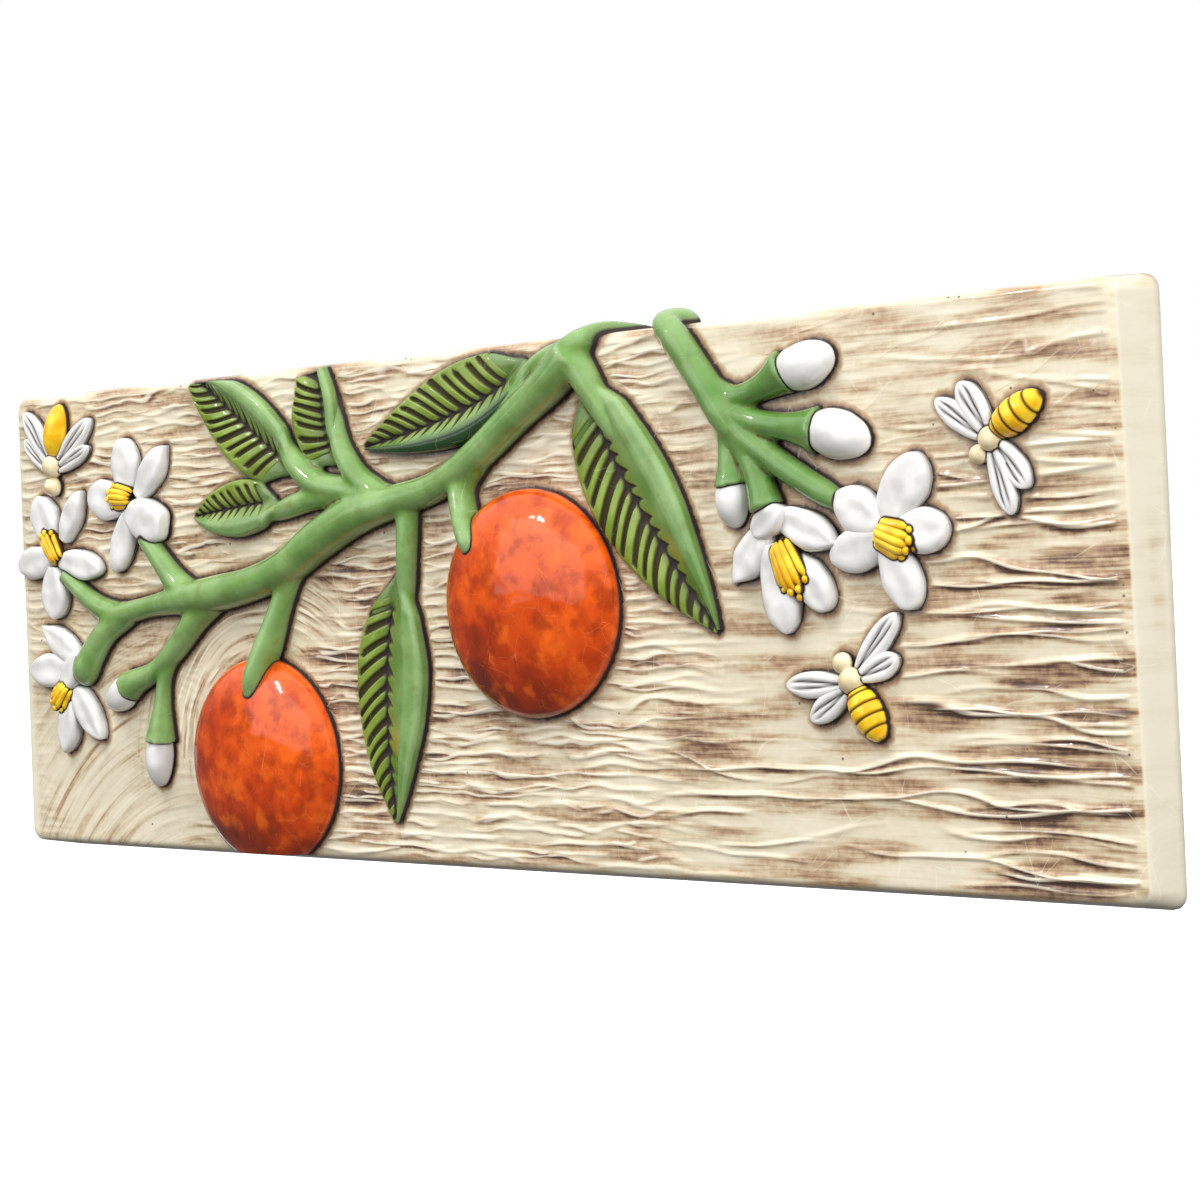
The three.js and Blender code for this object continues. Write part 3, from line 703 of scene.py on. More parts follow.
# The base of a leaf is melted into its stem, and the leaf itself rises out of that base
BASE_FADE = 0.14
BASE_END = 0.38
BASE_SINK = 8
LEAF_SINK = 3.2
BASE_TAPER = 0.4  # how much narrower the base is at its start, and the leaf inside it
LEAF_TAPER = 0.55
EDGE_CURL = 1.5  # how far a leaf that is cut short curls down at its end
CURL_LENGTH = 0.1


def leaf_places(t, across, base_only, midrib, side, veined, smooth, stem, widest, end, slant, blunt, top):
    """Where the points of a leaf lie on the face of the tile."""
    leaning = np.minimum(t + slant * np.abs(across) * np.sin(np.pi * t), end)
    guide = smooth_line(midrib, MIDRIB_SAMPLES)
    run = np.gradient(guide, axis=0)
    run /= np.linalg.norm(run, axis=1, keepdims=True)
    shares = np.linspace(0, 1, len(guide))
    width = leaf_width(leaning, widest, blunt)
    rolled = np.hypot(smooth * width, stem * (1 - ease(leaning, 0, widest)))
    squeeze = 1 - (BASE_TAPER if base_only else LEAF_TAPER) * (1 - ease(t, LEAF_START, BASE_FADE))
    offset = -side * across * squeeze * np.where(across < 0, veined * width, rolled)
    x = np.interp(leaning, shares, guide[:, 0]) - np.interp(leaning, shares, run[:, 1]) * offset
    z = np.interp(leaning, shares, guide[:, 1]) + np.interp(leaning, shares, run[:, 0]) * offset
    pressed = top - LEAF_TOP_EASE * np.logaddexp(0, (top - z) / LEAF_TOP_EASE)
    return x + LEAF_TOP_LEAN * (z - pressed), pressed


def leaf_rings(base_only, veins, margin, teeth, shade, end, **plan):
    """Rings along a leaf with its grooves, lime and shade at every point, or the rings of its base alone."""
    section = smooth_line(LEAF_SECTION, SECTION_SAMPLES)
    across = np.clip(section[:, 0], -1, 1)
    profile = section[:, 1]
    on_top = profile > TOP_FROM
    steps = veins * STATIONS_A_VEIN
    t = np.linspace(LEAF_START, BASE_END if base_only else end, steps + 1)[:, None]
    x, z = leaf_places(t, across, base_only, end=end, **plan)
    from_base = np.where(across > 0, 1, FULL_AFTER * t)
    from_end = np.clip(np.minimum(from_base, FULL_AFTER * (1 - t)), 0, 1)
    fullness = THIN_END + (1 - THIN_END) * from_end
    if base_only:
        sunk = BASE_SINK * ease(t, BASE_FADE, BASE_END)
        return on_face(x, z, np.where(on_top, profile * fullness, profile) - sunk)
    order = np.linspace(0, veins, steps + 1)[:, None]
    order = order + STROKE_WANDER * np.sin(WANDER_WAVES[0] * order)
    reach = 1 + STROKE_WANDER * np.sin(WANDER_WAVES[1] * np.floor(order))
    groove = pressed_strokes(order % 1 - 0.5, across * reach, margin, teeth) * on_top
    groove = groove * ease(t, STROKES_FROM, STROKES_FULL)
    curl = (end < LEAF_TIP) * EDGE_CURL * ease(t, end - CURL_LENGTH, end)
    sunk = LEAF_SINK * (1 - ease(t, LEAF_START, BASE_FADE)) + curl
    height = np.where(on_top, (profile - STROKE_DEPTH * groove) * fullness, profile) - sunk * on_top
    lime = np.interp(across, LIME_EDGE, (1, 0)) * ease(t, STROKES_FROM, BASE_FADE)
    dark = shade * np.interp(across, SHADE_EDGE, (0, 1)) + 0 * height
    return on_face(x, z, height), groove, lime, dark


leaf_points = []
leaf_faces = []
leaf_measures = {"groove": [], "veined": [], "shaded": []}
leaf_bases = []
for number, leaf in enumerate(LEAVES):
    plan = {**USUAL_LEAF, **leaf}
    rings, *measures = leaf_rings(False, **plan)
    points, faces = skin(rings)
    start = len(leaf_points)
    leaf_points.extend(points.tolist())
    leaf_faces.extend(tuple(start + i for i in face) for face in faces)
    for label, values in zip(leaf_measures, measures):
        leaf_measures[label].extend(values.ravel().tolist())
    leaf_bases.append(mesh_object(f"leaf_base_{number}", *skin(leaf_rings(True, **plan))))
leaves = mesh_object("leaves", leaf_points, leaf_faces)
for label, values in leaf_measures.items():
    store(leaves.data, label, values)
print("leaves have", len(leaf_points), "points and", len(leaf_bases), "bases")

# %% [markdown]
# ## The branch
# The stems are half-round bars that fork and swell. Each is a line with a half width at every point, as a
# potter rolls and presses coils of clay. A Geometry Nodes tree sweeps one half-round section along all of
# them. The bars alone would meet in sharp creases, so a fine remesh melts them, with the bases of the leaves,
# into one skin, and some smoothing rounds the forks.

# %% Stems: x, z, half width and lift of each point, in millimetres
STEMS = {
    "main": [
        (54, 84, 7), (44, 76, 6.8), (29, 67, 6.2), (4, 51.5, 5.8), (-15, 43, 5.5), (-35, 39, 6),
        (-55, 35, 7.2), (-75, 27, 7.4), (-95, 17, 6.8), (-115, 11.5, 6.6), (-135, 8.5, 7),
        (-152, 7, 6.2), (-174, 4.5, 4.4), (-194, 1.5, 4.6), (-203, 0.5, 4.2),
    ],
    "to_blossom_a": [(-194, 1, 5.4, -1.6), (-206, 4.5, 4.6, -0.3), (-217, 10.5, 3.9), (-228, 18.5, 3.6)],
    "to_blossom_b": [(-146, 5, 7.4, -3.5), (-157, 12, 6, -1.5), (-166.5, 21.5, 4.6), (-176, 32, 4.2)],
    "to_blossom_c": [
        (-190, 2, 6, -2.6), (-203, -5, 5.4, -0.8), (-212.5, -14.5, 5.6), (-216.5, -20, 5.8),
        (-219, -24, 4, -2),
    ],
    "to_left_buds": [(-136, 8, 7.4, -3.5), (-147, 0, 6, -1.5), (-158.5, -10.5, 4.8), (-170, -19, 4.2)],
    "to_bud_left": [(-163, -14, 4), (-175, -21, 4.2), (-185, -24.5, 5.2), (-190, -26.5, 6.9, -1.2)],
    "to_bud_down": [(-163, -13, 3.8), (-169, -24, 3.4), (-171, -36, 4.4), (-172.5, -47.5, 7.4, -1.2)],
    "to_orange_left": [
        (-91, 18, 6.4, -2.8), (-97, 7, 4.5, 0), (-101.5, -4, 4, 3), (-105.5, -15, 3.9, 6.6),
        (-108.5, -24, 3.8, 8.4), (-110.6, -30.5, 2.8, 8.2),
    ],
    "under_orange_left": [
        (-94, 12, 5, -2), (-98.5, 3, 4.6, -1), (-102.5, -7, 4.3, 1), (-105.5, -15, 4, 3), (-107, -19, 3.6, 4),
    ],
    "to_orange_right": [
        (4, 51, 7, -3.4), (-2, 42.5, 5.2, -0.6), (1, 32, 4, 4), (6.5, 23, 3.6, 7.5), (8, 19.5, 2.8, 7.5),
    ],
    "under_orange_right": [(0, 46, 6, -3), (-1.2, 40, 5, -1.6), (0.4, 34, 4.2, 1), (2.5, 29, 3.8, 3)],
    "to_leaf_hanging": [
        (-31, 42, 7, -3.8), (-30, 31, 5, -1), (-31, 18, 4.3), (-32.5, 6, 4, -1.2), (-34, -6, 3, -4),
    ],
    "to_upper_leaves": [
        (-40, 39, 7, -3.4), (-58, 43.5, 5.4, -0.8), (-75, 47, 5), (-86, 54.5, 5, -0.6), (-97, 66, 4, -4),
    ],
    "to_leaf_small": [(-64, 43, 4.4), (-80, 41.5, 4.4), (-93, 39, 4.2, -0.6), (-104, 36.5, 3.4, -3.5)],
    "to_leaf_upright": [
        (-42, 40, 6.4, -3), (-54, 48.5, 5, -0.6), (-62, 60, 4.4, -0.5), (-65, 73, 3.6, -2.5),
        (-66, 84, 2.4, -5),
    ],
    "to_leaf_centre": [(52, 86, 4.2), (40, 83, 3.8), (29, 78, 3.4, -1), (19, 73, 2.6, -4)],
    "to_leaf_right": [
        (52, 84, 6), (57.5, 77, 5.6), (62.5, 69, 5, -0.4), (69, 58, 4.4, -2), (76, 47, 3.2, -5),
    ],
    "spray": [(98, 86, 5.2), (104, 78, 5.2), (111, 68.5, 5.4), (117, 60, 5.6), (121, 54, 4.8)],
    "to_bud_right_top": [(111, 69, 4.4), (121, 65, 4), (133, 67.5, 4.6), (142, 71.5, 7.8, -1.6)],
    "to_bud_right_mid": [(116, 62, 4.6), (130, 56.5, 4.2), (144, 54, 5), (153, 52.5, 8, -1.6)],
    "to_blossom_e": [
        (118, 57, 4.6), (134, 46, 4.4), (149, 36.5, 4.4), (157, 32, 4.2, -0.8), (164, 28, 3, -3.5),
    ],
    "to_blossom_d": [(119, 56, 4.4), (126, 46, 4), (130, 38, 4.8), (133, 29, 6)],
    "to_bud_right_low": [(112, 66, 4), (116.5, 54, 3.2), (118, 46, 4), (118.8, 38, 6.7, -1.2)],
}
# Two stems fold back over the top edge: x, z, radius, and depth behind the front
OVER_EDGE = {
    "main_over_edge": [
        (47, 77, 5.4, -4), (54, 86, 5.2, -2), (61, 89.5, 4.8, 4), (70, 89.5, 3.8, 8), (82, 88, 2.4, 10),
    ],
    "spray_over_edge": [
        (105, 78, 4.6, -3), (98, 87, 4.8, -3), (93.5, 90.5, 5, 1), (94, 90.8, 5.2, 5), (96.5, 90, 4.6, 7.5),
        (98.5, 88.2, 2.8, 9),
    ],
}
print(len(STEMS), "stems and", len(OVER_EDGE), "ends over the edge")

# %% Lines of the stems
SAMPLES_A_POINT = 8

stem_lines = []
for points in STEMS.values():
    filled = [point if len(point) == 4 else (*point, 0) for point in points]
    line = smooth_line(filled, len(points) * SAMPLES_A_POINT) * MM
    stem_lines.append([(x, z, lift, half) for x, z, half, lift in line])
tube_lines = []
for points in OVER_EDGE.values():
    line = smooth_line(points, len(points) * SAMPLES_A_POINT) * MM
    tube_lines.append([(x, z, -depth, radius) for x, z, radius, depth in line])


def curve_object(name, lines, closed=False):
    """A curve of straight steps, one run for each line of x, y, z and radius."""
    data = bpy.data.curves.new(name, "CURVE")
    data.dimensions = "3D"
    for line in lines:
        spline = data.splines.new("POLY")
        spline.points.add(len(line) - 1)
        for point, (x, y, z, radius) in zip(spline.points, line):
            point.co = (x, y, z, 1)
            point.radius = radius
        spline.use_cyclic_u = closed
    return add_object(name, data)


print("lines drawn with", SAMPLES_A_POINT, "steps for each point")

# %% Sweep the stems
STEM_RIM = 0.36  # steep foot of a stem, as a share of its half width
STEM_CREST = 1.05
STEM_ROOT = 0.55
ARC_STEPS = 14

arc = [math.pi * (1 - k / ARC_STEPS) for k in range(ARC_STEPS + 1)]
crown = [(math.cos(a), STEM_RIM + STEM_CREST * math.sin(a)) for a in arc]
half_round = [(-1, -STEM_ROOT), *crown, (1, -STEM_ROOT)]
full_round = [(math.cos(2 * a), math.sin(2 * a)) for a in arc[:-1]]


def sweep_tree(name):
    tree, given = start_tree(name, [("Section", "Object")])
    level = node(tree, "GeometryNodeSetCurveNormal", {0: given["Geometry"]}, mode="Z_UP").outputs[0]
    half = node(tree, "GeometryNodeInputRadius").outputs[0]
    section = shape_of(tree, given["Section"])
    inputs = {"Curve": level, "Profile Curve": section, "Scale": half, "Fill Caps": True}
    bars = node(tree, "GeometryNodeCurveToMesh", inputs).outputs[0]
    end_tree(tree, stand_on_face(tree, bars), given)
    return tree


sweep = sweep_tree("sweep_stems")
bars = []
for name, lines, section in (("stems", stem_lines, half_round), ("tubes", tube_lines, full_round)):
    section_object = curve_object(name + "_section", [[(x, -y, 0, 1) for x, y in section]], closed=True)
    run = curve_object(name, lines)
    use_tree(run, sweep, Section=section_object, Glaze=green_glaze)
    bars.append(settle(run, name))
    bpy.data.objects.remove(section_object)

# %% Melt the stems and the bases of the leaves together
MELT = 0.8 * MM  # grain of the remesh
FORK_PASSES = 13
FORK_SOFTNESS = 0.5

branch = merged("branch_bars", bars + leaf_bases)
remesh = branch.modifiers.new("melt", "REMESH")
remesh.mode = "VOXEL"
remesh.voxel_size = MELT
remesh.use_smooth_shade = True
soften = branch.modifiers.new("soften", "SMOOTH")
soften.factor = FORK_SOFTNESS
soften.iterations = FORK_PASSES
branch = settle(branch, "branch")

# %% [markdown]
# ## The oranges
# Two low domes with a steep foot. The left one reaches the lower edge of the tile, where it was cut off
# flush.

# %% Oranges
ORANGES = [(-112, -55), (28.6, 1.4)]
ORANGE_RADIUS = 39
ORANGE_DOME = 11.5
ORANGE_FOOT = 2.2
ORANGE_ROOT = 1.5  # how far an orange goes down into the ground
DOME_FULLNESS = 0.85
ORANGE_SIDES = 120
ORANGE_STEPS = 34
LOWER_EDGE = -88.8
SHADE_LEFT = 0.35  # which way the painted shade darkens the oranges: to the left and down
SHADE_DOWN = 0.7

rise = np.linspace(0, np.pi / 2, ORANGE_STEPS + 1)[:-1]
reach = np.concatenate([[1, 1, 1], np.cos(rise) ** DOME_FULLNESS]) * ORANGE_RADIUS
lift = np.concatenate([[-ORANGE_ROOT, 0, ORANGE_FOOT / 2], ORANGE_FOOT + ORANGE_DOME * np.sin(rise)])
turn = np.linspace(0, 2 * np.pi, ORANGE_SIDES, endpoint=False)

orange_shapes = bmesh.new()
for x, z in ORANGES:
    around = (x + np.outer(reach, np.cos(turn)), z + np.outer(reach, np.sin(turn)))
    points, faces = skin(on_face(*around, np.repeat(lift[:, None], ORANGE_SIDES, axis=1)))
    corners = [orange_shapes.verts.new(point) for point in points]
    for face in faces:
        orange_shapes.faces.new([corners[i] for i in face])
everything = [*orange_shapes.verts, *orange_shapes.edges, *orange_shapes.faces]
bmesh.ops.bisect_plane(
    orange_shapes, geom=everything, plane_co=(0, 0, LOWER_EDGE * MM), plane_no=(0, 0, -1), clear_outer=True
)
bmesh.ops.holes_fill(orange_shapes, edges=[e for e in orange_shapes.edges if e.is_boundary])
bmesh.ops.recalc_face_normals(orange_shapes, faces=orange_shapes.faces)
orange_mesh = bpy.data.meshes.new("oranges")
orange_shapes.to_mesh(orange_mesh)
orange_shapes.free()
oranges = add_object("oranges", orange_mesh)

# Painted shade: how far each point lies towards the lower left of its orange, which the orange glaze paints
# darker
painted_shade = []
for vertex in orange_mesh.vertices:
    x, _, z = vertex.co / MM
    centre = min(ORANGES, key=lambda middle: math.dist(middle, (x, z)))
    painted_shade.append((SHADE_LEFT * (centre[0] - x) + SHADE_DOWN * (centre[1] - z)) / ORANGE_RADIUS)
store(orange_mesh, "low", painted_shade)
print(len(ORANGES), "oranges,", 2 * ORANGE_RADIUS, "mm across")

# %% [markdown]
# ## Blossoms, buds and bees
# Petals, wings, stamens, buds and the parts of a bee are each one small shape repeated in many sizes and
# directions. One Geometry Nodes tree places them all: it reads a turn and a size from every point, puts a
# copy of the shape there, and then pushes the copies about with soft noise, so that no two petals are quite
# alike.

# %% Tree that places copies
PUSH_GRAIN = 11  # size of the noise that pushes the copies about, in millimetres
# How far it pushes each kind of copy
UNEVENNESS = {"petal": 1.8, "rod": 0.5, "knob": 0.3, "bud": 1.2, "wing": 0.8, "head": 0.4, "abdomen": 0.4}


def copies_tree(name):
    tree, given = start_tree(name, [("Shape", "Object"), ("Unevenness", "Float")])
    turn = stored(tree, "turn", "FLOAT_VECTOR")
    inputs = {
        "Points": given["Geometry"],
        "Instance": shape_of(tree, given["Shape"]),
        "Rotation": node(tree, "FunctionNodeEulerToRotation", {0: turn}).outputs[0],
        "Scale": stored(tree, "size", "FLOAT_VECTOR"),
    }
    instances = node(tree, "GeometryNodeInstanceOnPoints", inputs).outputs[0]
    real = node(tree, "GeometryNodeRealizeInstances", {0: instances}).outputs[0]
    place = node(tree, "GeometryNodeInputPosition").outputs[0]
    inputs = {"Vector": place, "Scale": 1 / (PUSH_GRAIN * MM), "Detail": 1.0}
    noise = node(tree, "ShaderNodeTexNoise", inputs).outputs["Color"]
    centred = vector_maths(tree, "SUBTRACT", noise, even(0.5)).outputs[0]
    push = scaled(tree, centred, given["Unevenness"])
    uneven = node(tree, "GeometryNodeSetPosition", {"Geometry": real, "Offset": push}).outputs[0]
    end_tree(tree, stand_on_face(tree, uneven), given)
    return tree


copies = copies_tree("place_copies")


def placed(name, shape, spots, material, kind):
    """A piece made of copies of a shape. Each spot is x, z, lift, heading, tilt, width, length and height."""
    table = np.array(spots, float)
    points = mesh_object(name + "_spots", table[:, :3] * MM, [])
    turn = np.stack([table[:, 4], np.zeros(len(table)), table[:, 3]], axis=1)
    for label, values in (("turn", turn), ("size", table[:, 5:8] * MM)):
        attribute = points.data.attributes.new(label, "FLOAT_VECTOR", "POINT")
        attribute.data.foreach_set("vector", values.ravel())
    use_tree(points, copies, Shape=shape, Unevenness=UNEVENNESS[kind] * MM, Glaze=material)
    piece = settle(points, name)
    bpy.data.objects.remove(shape)
    return piece


def heading(x0, z0, x1, z1):
    """Turn that lays a shape's length from one place towards another, and how far apart they are."""
    return math.atan2(z1 - z0, x1 - x0) - math.pi / 2, math.hypot(x1 - x0, z1 - z0)


print("one tree places", len(UNEVENNESS), "kinds of copies")

# %% Petals: x, z of the base and of the tip, width, kind of tip, and for some a lift and a tilt in degrees
PETALS = [
    (-235, 30, -243, 50.5, 16, "pointed"), (-228, 31, -215, 51, 11, "pointed"),
    (-230, 24, -204, 19.5, 12, "blunt"), (-234, 22, -235.5, 0, 15.5, "blunt"),
    (-235, 25, -256.5, 22, 14, "round"),
    (-185, 48, -186.5, 70, 14.5, "round"), (-179.5, 46.5, -161, 66, 12, "pointed"),
    (-185, 41, -162.5, 34.5, 17, "square", 0.9, 2), (-183, 42, -195.5, 18.5, 12, "round"),
    (-187, 44, -209, 49, 16, "round"),
    (-219, -17.5, -244.5, -2.5, 12, "sharp"), (-225, -21, -254.5, -20, 14, "pointed"),
    (-228, -31, -233, -53.5, 12.5, "pointed"), (-225, -27, -209.5, -48, 12.5, "blunt"),
    (-219, -14, -230, -27, 11, "blunt", 1.5),
    (133, 24, 117.5, 5.5, 12.5, "sharp"), (128, 22, 141, 28.5, 10, "blunt", 1.2, 6),
    (137, 26.5, 159.5, 17.5, 12.5, "pointed", 0, 4), (133.5, 19, 138.5, -10.5, 14, "blunt"),
    (142, 14, 155.5, -3, 13, "round"),
    (177, 21, 160, 32.5, 15, "blunt"), (178, 23, 192, 43, 15.5, "round"), (180, 20, 201, 20, 14, "round"),
    (178, 17, 187.5, -3.5, 13.5, "blunt"), (179, 18, 157, 13, 14, "round"),
]
TIPS = {"square": 0.26, "round": 0.5, "blunt": 0.62, "pointed": 0.8, "sharp": 1.4}
print(len(PETALS), "petals with", len(TIPS), "kinds of tip")

# %% Pads, as petals and wings are
PAD_STATIONS = 30
PAD_ENDS = (0.12, 0.985)  # of a half turn, because the rings come closer together towards both ends
PAD_SAMPLES = 24
PAD_WIDEST = 0.56
PAD_ROUNDNESS = 1.8
PAD_BASE = 0.6  # how pointed the base is
BASE_CUT = 1.12  # where the base would end in its point, counted from the widest place, with 1 at its start
PAD_FLATNESS = 4
HOLLOW_MIDDLE = 0.1  # place across a pad, and half width, of its hollow
HOLLOW_HALF = 0.45
PAD_ROOT = 0.3  # how far a pad goes down into the ground, as a share of its height
VEIN_DEPTH = 0.2
VEIN_ENDS = (0.95, 0.75)  # along a pad, where a vein ends and up to where it is full


def pad_shape(name, tip, rim, hollow, veins=()):
    """A flat pad, one unit each way, with a steep rim, a hollow middle and, on a wing, dark veins."""
    t = (1 - np.cos(np.linspace(*PAD_ENDS, PAD_STATIONS) * np.pi)) / 2
    to_base = t < PAD_WIDEST
    share = np.abs(t - PAD_WIDEST) / np.where(to_base, PAD_WIDEST * BASE_CUT, 1 - PAD_WIDEST)
    width = (1 - np.clip(share, 0, 0.9999) ** PAD_ROUNDNESS) ** np.where(to_base, PAD_BASE, tip)
    s = np.sin(np.linspace(-0.5, 0.5, PAD_SAMPLES) * np.pi)
    dip = np.exp(-(((s - HOLLOW_MIDDLE) / HOLLOW_HALF) ** 2)) * np.sin(np.pi * t)[:, None]
    pillow = (1 - np.abs(s) ** PAD_FLATNESS) ** 0.5 - hollow * dip
    pressed = np.zeros((PAD_STATIONS, PAD_SAMPLES))
    for start, end, half in veins:
        line = start + (end - start) * t[:, None]
        vein = np.exp(-(((s - line) / half) ** 2)) * ease(t, *VEIN_ENDS)[:, None]
        pressed = np.maximum(pressed, vein)
    top = rim + (1 - rim) * np.sqrt(width)[:, None] * pillow - VEIN_DEPTH * pressed
    root = np.full((PAD_STATIONS, 1), -PAD_ROOT)
    wall = np.full((PAD_STATIONS, 1), rim / 2)
    height = np.hstack([root, wall, top, wall, root])
    s = np.concatenate([[-1, -1], s, [1, 1]])
    rings = np.stack(np.broadcast_arrays(s * width[:, None] / 2, t[:, None], height), axis=-1)
    pad = mesh_object(name, *skin(rings))
    store(pad.data, "groove", np.pad(pressed, ((0, 0), (2, 2))).ravel())
    return pad


print("pads have", PAD_STATIONS, "rings")

# %% Place the petals
PETAL_CREST = 4.8
PETAL_RIM = 0.5
PETAL_HOLLOW = 0.2

petal_groups = []
for kind, tip in TIPS.items():
    petal_spots = []
    for x0, z0, x1, z1, width, petal_kind, *more in PETALS:
        turn, length = heading(x0, z0, x1, z1)
        lift, tilt = (*more, 0, 0)[:2]
        if petal_kind == kind:
            petal_spots.append((x0, z0, lift, turn, math.radians(tilt), width, length, PETAL_CREST))
    petal = pad_shape("petal", tip, PETAL_RIM, PETAL_HOLLOW)
    petal_groups.append(placed("petals_" + kind, petal, petal_spots, white_glaze, "petal"))
petals = merged("petals", petal_groups)

# %% Stamens: x, z of the base and of the tip, and the width of the bundle
STAMENS = [
    (-229, 23.5, -236.5, 34, 10), (-181, 46.5, -193, 48, 11), (-227, -26, -235.5, -34, 11),
    (138, 18.5, 144.5, 3.5, 12), (176, 20.5, 188, 16, 12.5),
]
# Rods of a bundle: place across it, share of its length, and lift
RODS = [(-0.4, 0.86, 3.4), (-0.2, 0.98, 4.8), (0.0, 1.0, 5.3), (0.2, 0.98, 4.8), (0.4, 0.86, 3.4)]
# Knobs at the tips: place across, along, and lift
KNOBS = [(-0.36, 0.9, 3.7), (-0.12, 1.02, 5.0), (0.14, 1.0, 5.0), (0.36, 0.88, 3.7), (0.02, 1.14, 3.4)]
print(len(STAMENS), "bundles of", len(RODS), "rods")

# %% Shapes turned round their length
ROD_RADII = [0.25, 0.8, 0.96, 1.0, 1.0, 1.0, 1.0, 1.0, 1.0, 0.98, 0.92, 0.7, 0.2]
BALL_STEPS = 26
BALL_CUT = 0.999  # where a ball is cut flat at both ends, as a share of its radius
DARK_SIDES = (0.7, 0.45)  # heights on a rod between which its sides darken


def turned_shape(name, radii, sides, lines=None):
    """A shape one unit long, from its radii at even steps, with dark lines round it or else dark sides."""
    t = np.linspace(0, 1, len(radii))
    angle = np.linspace(0, 2 * np.pi, sides, endpoint=False)
    x = np.outer(radii, np.cos(angle))
    z = np.outer(radii, np.sin(angle))
    rings = np.stack(np.broadcast_arrays(x, t[:, None], z), axis=-1)
    shape = mesh_object(name, *skin(rings))
    dark = ease(np.sin(angle), *DARK_SIDES) if lines is None else lines[:, None]
    store(shape.data, "groove", np.broadcast_to(dark, x.shape).ravel())
    return shape


ball_radii = np.sqrt(1 - np.linspace(-BALL_CUT, BALL_CUT, BALL_STEPS) ** 2)
print("a rod has", len(ROD_RADII), "rings and a ball", len(ball_radii))

# %% Place the stamens
ROD_HALF = 0.155  # half width of a rod, as a share of the bundle's width
ROD_BASE = 0.6  # width of the bundle at its base, as a share of its width
ROD_CREST = 1.3  # half height of a rod, as a share of its half width
ROD_SIDES = 16
KNOB_HALF = 1.5


def bundle_place(bundle, aside, share):
    """A place in a bundle of stamens, from shares of its width and of its length."""
    x0, z0, x1, z1, spread = bundle
    turn, _ = heading(x0, z0, x1, z1)
    across = aside * spread
    return x0 + math.cos(turn) * across + (x1 - x0) * share, z0 + math.sin(turn) * across + (z1 - z0) * share


rod_spots = []
knob_spots = []
for bundle in STAMENS:
    half = ROD_HALF * bundle[-1]
    for aside, share, lift in RODS:
        root = bundle_place(bundle, aside * ROD_BASE, 0)
        rod_turn, rod_length = heading(*root, *bundle_place(bundle, aside, share))
        rod_spots.append((*root, lift, rod_turn, 0, half, rod_length, half * ROD_CREST))
    for aside, share, lift in KNOBS:
        x, z = bundle_place(bundle, aside, share)
        knob_spots.append((x, z - KNOB_HALF, lift, 0, 0, KNOB_HALF, 2 * KNOB_HALF, KNOB_HALF))
rods = placed("rods", turned_shape("rod", ROD_RADII, ROD_SIDES), rod_spots, yellow_glaze, "rod")
knobs = placed("knobs", turned_shape("knob", ball_radii, ROD_SIDES), knob_spots, yellow_glaze, "knob")
stamens = merged("stamens", [rods, knobs])

# %% Buds: x, z of the base and of the tip, and the width
BUDS = [
    (-186, -25, -204.5, -34, 13), (-172.5, -43, -176, -66, 13.5), (139, 70.5, 161, 75.5, 15),
    (149.5, 53.5, 173, 48, 15.5), (118.6, 42, 119, 23.5, 12.5),
]
BUD_SKEW = 0.92
EGG_FULLNESS = 0.43
EGG_CUT = 0.004  # where an egg is cut flat at both ends, as a share of its length
EGG_AXIS = 1  # height of its axis above the ground, in millimetres
EGG_STEPS = 72
EGG_SIDES = 40

along = np.linspace(0, 1, EGG_STEPS)
no_lines = np.zeros(EGG_STEPS)


def egg_radii(skew):
    return np.sin(np.pi * np.clip(along, EGG_CUT, 1 - EGG_CUT) ** skew) ** EGG_FULLNESS


def egg_spots(eggs):
    spots = []
    for x0, z0, x1, z1, width in eggs:
        turn, length = heading(x0, z0, x1, z1)
        spots.append((x0, z0, EGG_AXIS, turn, 0, width / 2, length, width / 2))
    return spots


bud_egg = turned_shape("bud_egg", egg_radii(BUD_SKEW), EGG_SIDES, no_lines)
buds = placed("buds", bud_egg, egg_spots(BUDS), white_glaze, "bud")

# %% Bees. Head and thorax: x, z and half width. Abdomen and wings: x, z of the base and of the tip, and width
BEES = [
    {
        "head": (-232.5, 53.5, 4), "thorax": (-232, 61.5, 4.8),
        "abdomen": (-231.5, 65, -226, 86, 11.5), "striped": False,
        "wings": [
            (-234, 64, -249.5, 84, 10), (-235, 60, -250, 73, 7.5),
            (-229.5, 62, -207, 79, 9), (-229.5, 60, -209, 68, 7),
        ],
    },
    {
        "head": (213, 41.8, 3.1), "thorax": (217.3, 46.2, 4.0),
        "abdomen": (218, 47.8, 235, 58.2, 10.8), "striped": True,
        "wings": [
            (216.5, 48, 207, 63.5, 9), (214.5, 47, 198.5, 58.8, 8),
            (219, 45, 229.5, 31, 8.5), (217.5, 44, 223.5, 23.5, 8),
        ],
    },
    {
        "head": (159, -19.5, 3.4), "thorax": (162.2, -25, 4.4),
        "abdomen": (163, -27, 172.5, -43.5, 11.3), "striped": True,
        "wings": [
            (164.5, -22, 180.5, -4.5, 8), (165.5, -24, 180, -18, 8.5),
            (159.5, -26, 137, -26.5, 8.5), (160.5, -28, 146, -37.5, 8.5),
        ],
    },
]
print(len(BEES), "bees,", sum(bee["striped"] for bee in BEES), "of them striped")

# %% Wings, heads and backs of the bees
WING_TIP = 0.55
WING_CREST = 3.2
WING_RIM = 0.6
WING_HOLLOW = 0.25
# Place across a wing at its base and at its tip, and half width, of each vein
WING_VEINS = [(0.05, 0.4, 0.1), (-0.05, -0.35, 0.1)]
BALL_AXIS = 1.6
BALL_SIDES = 20

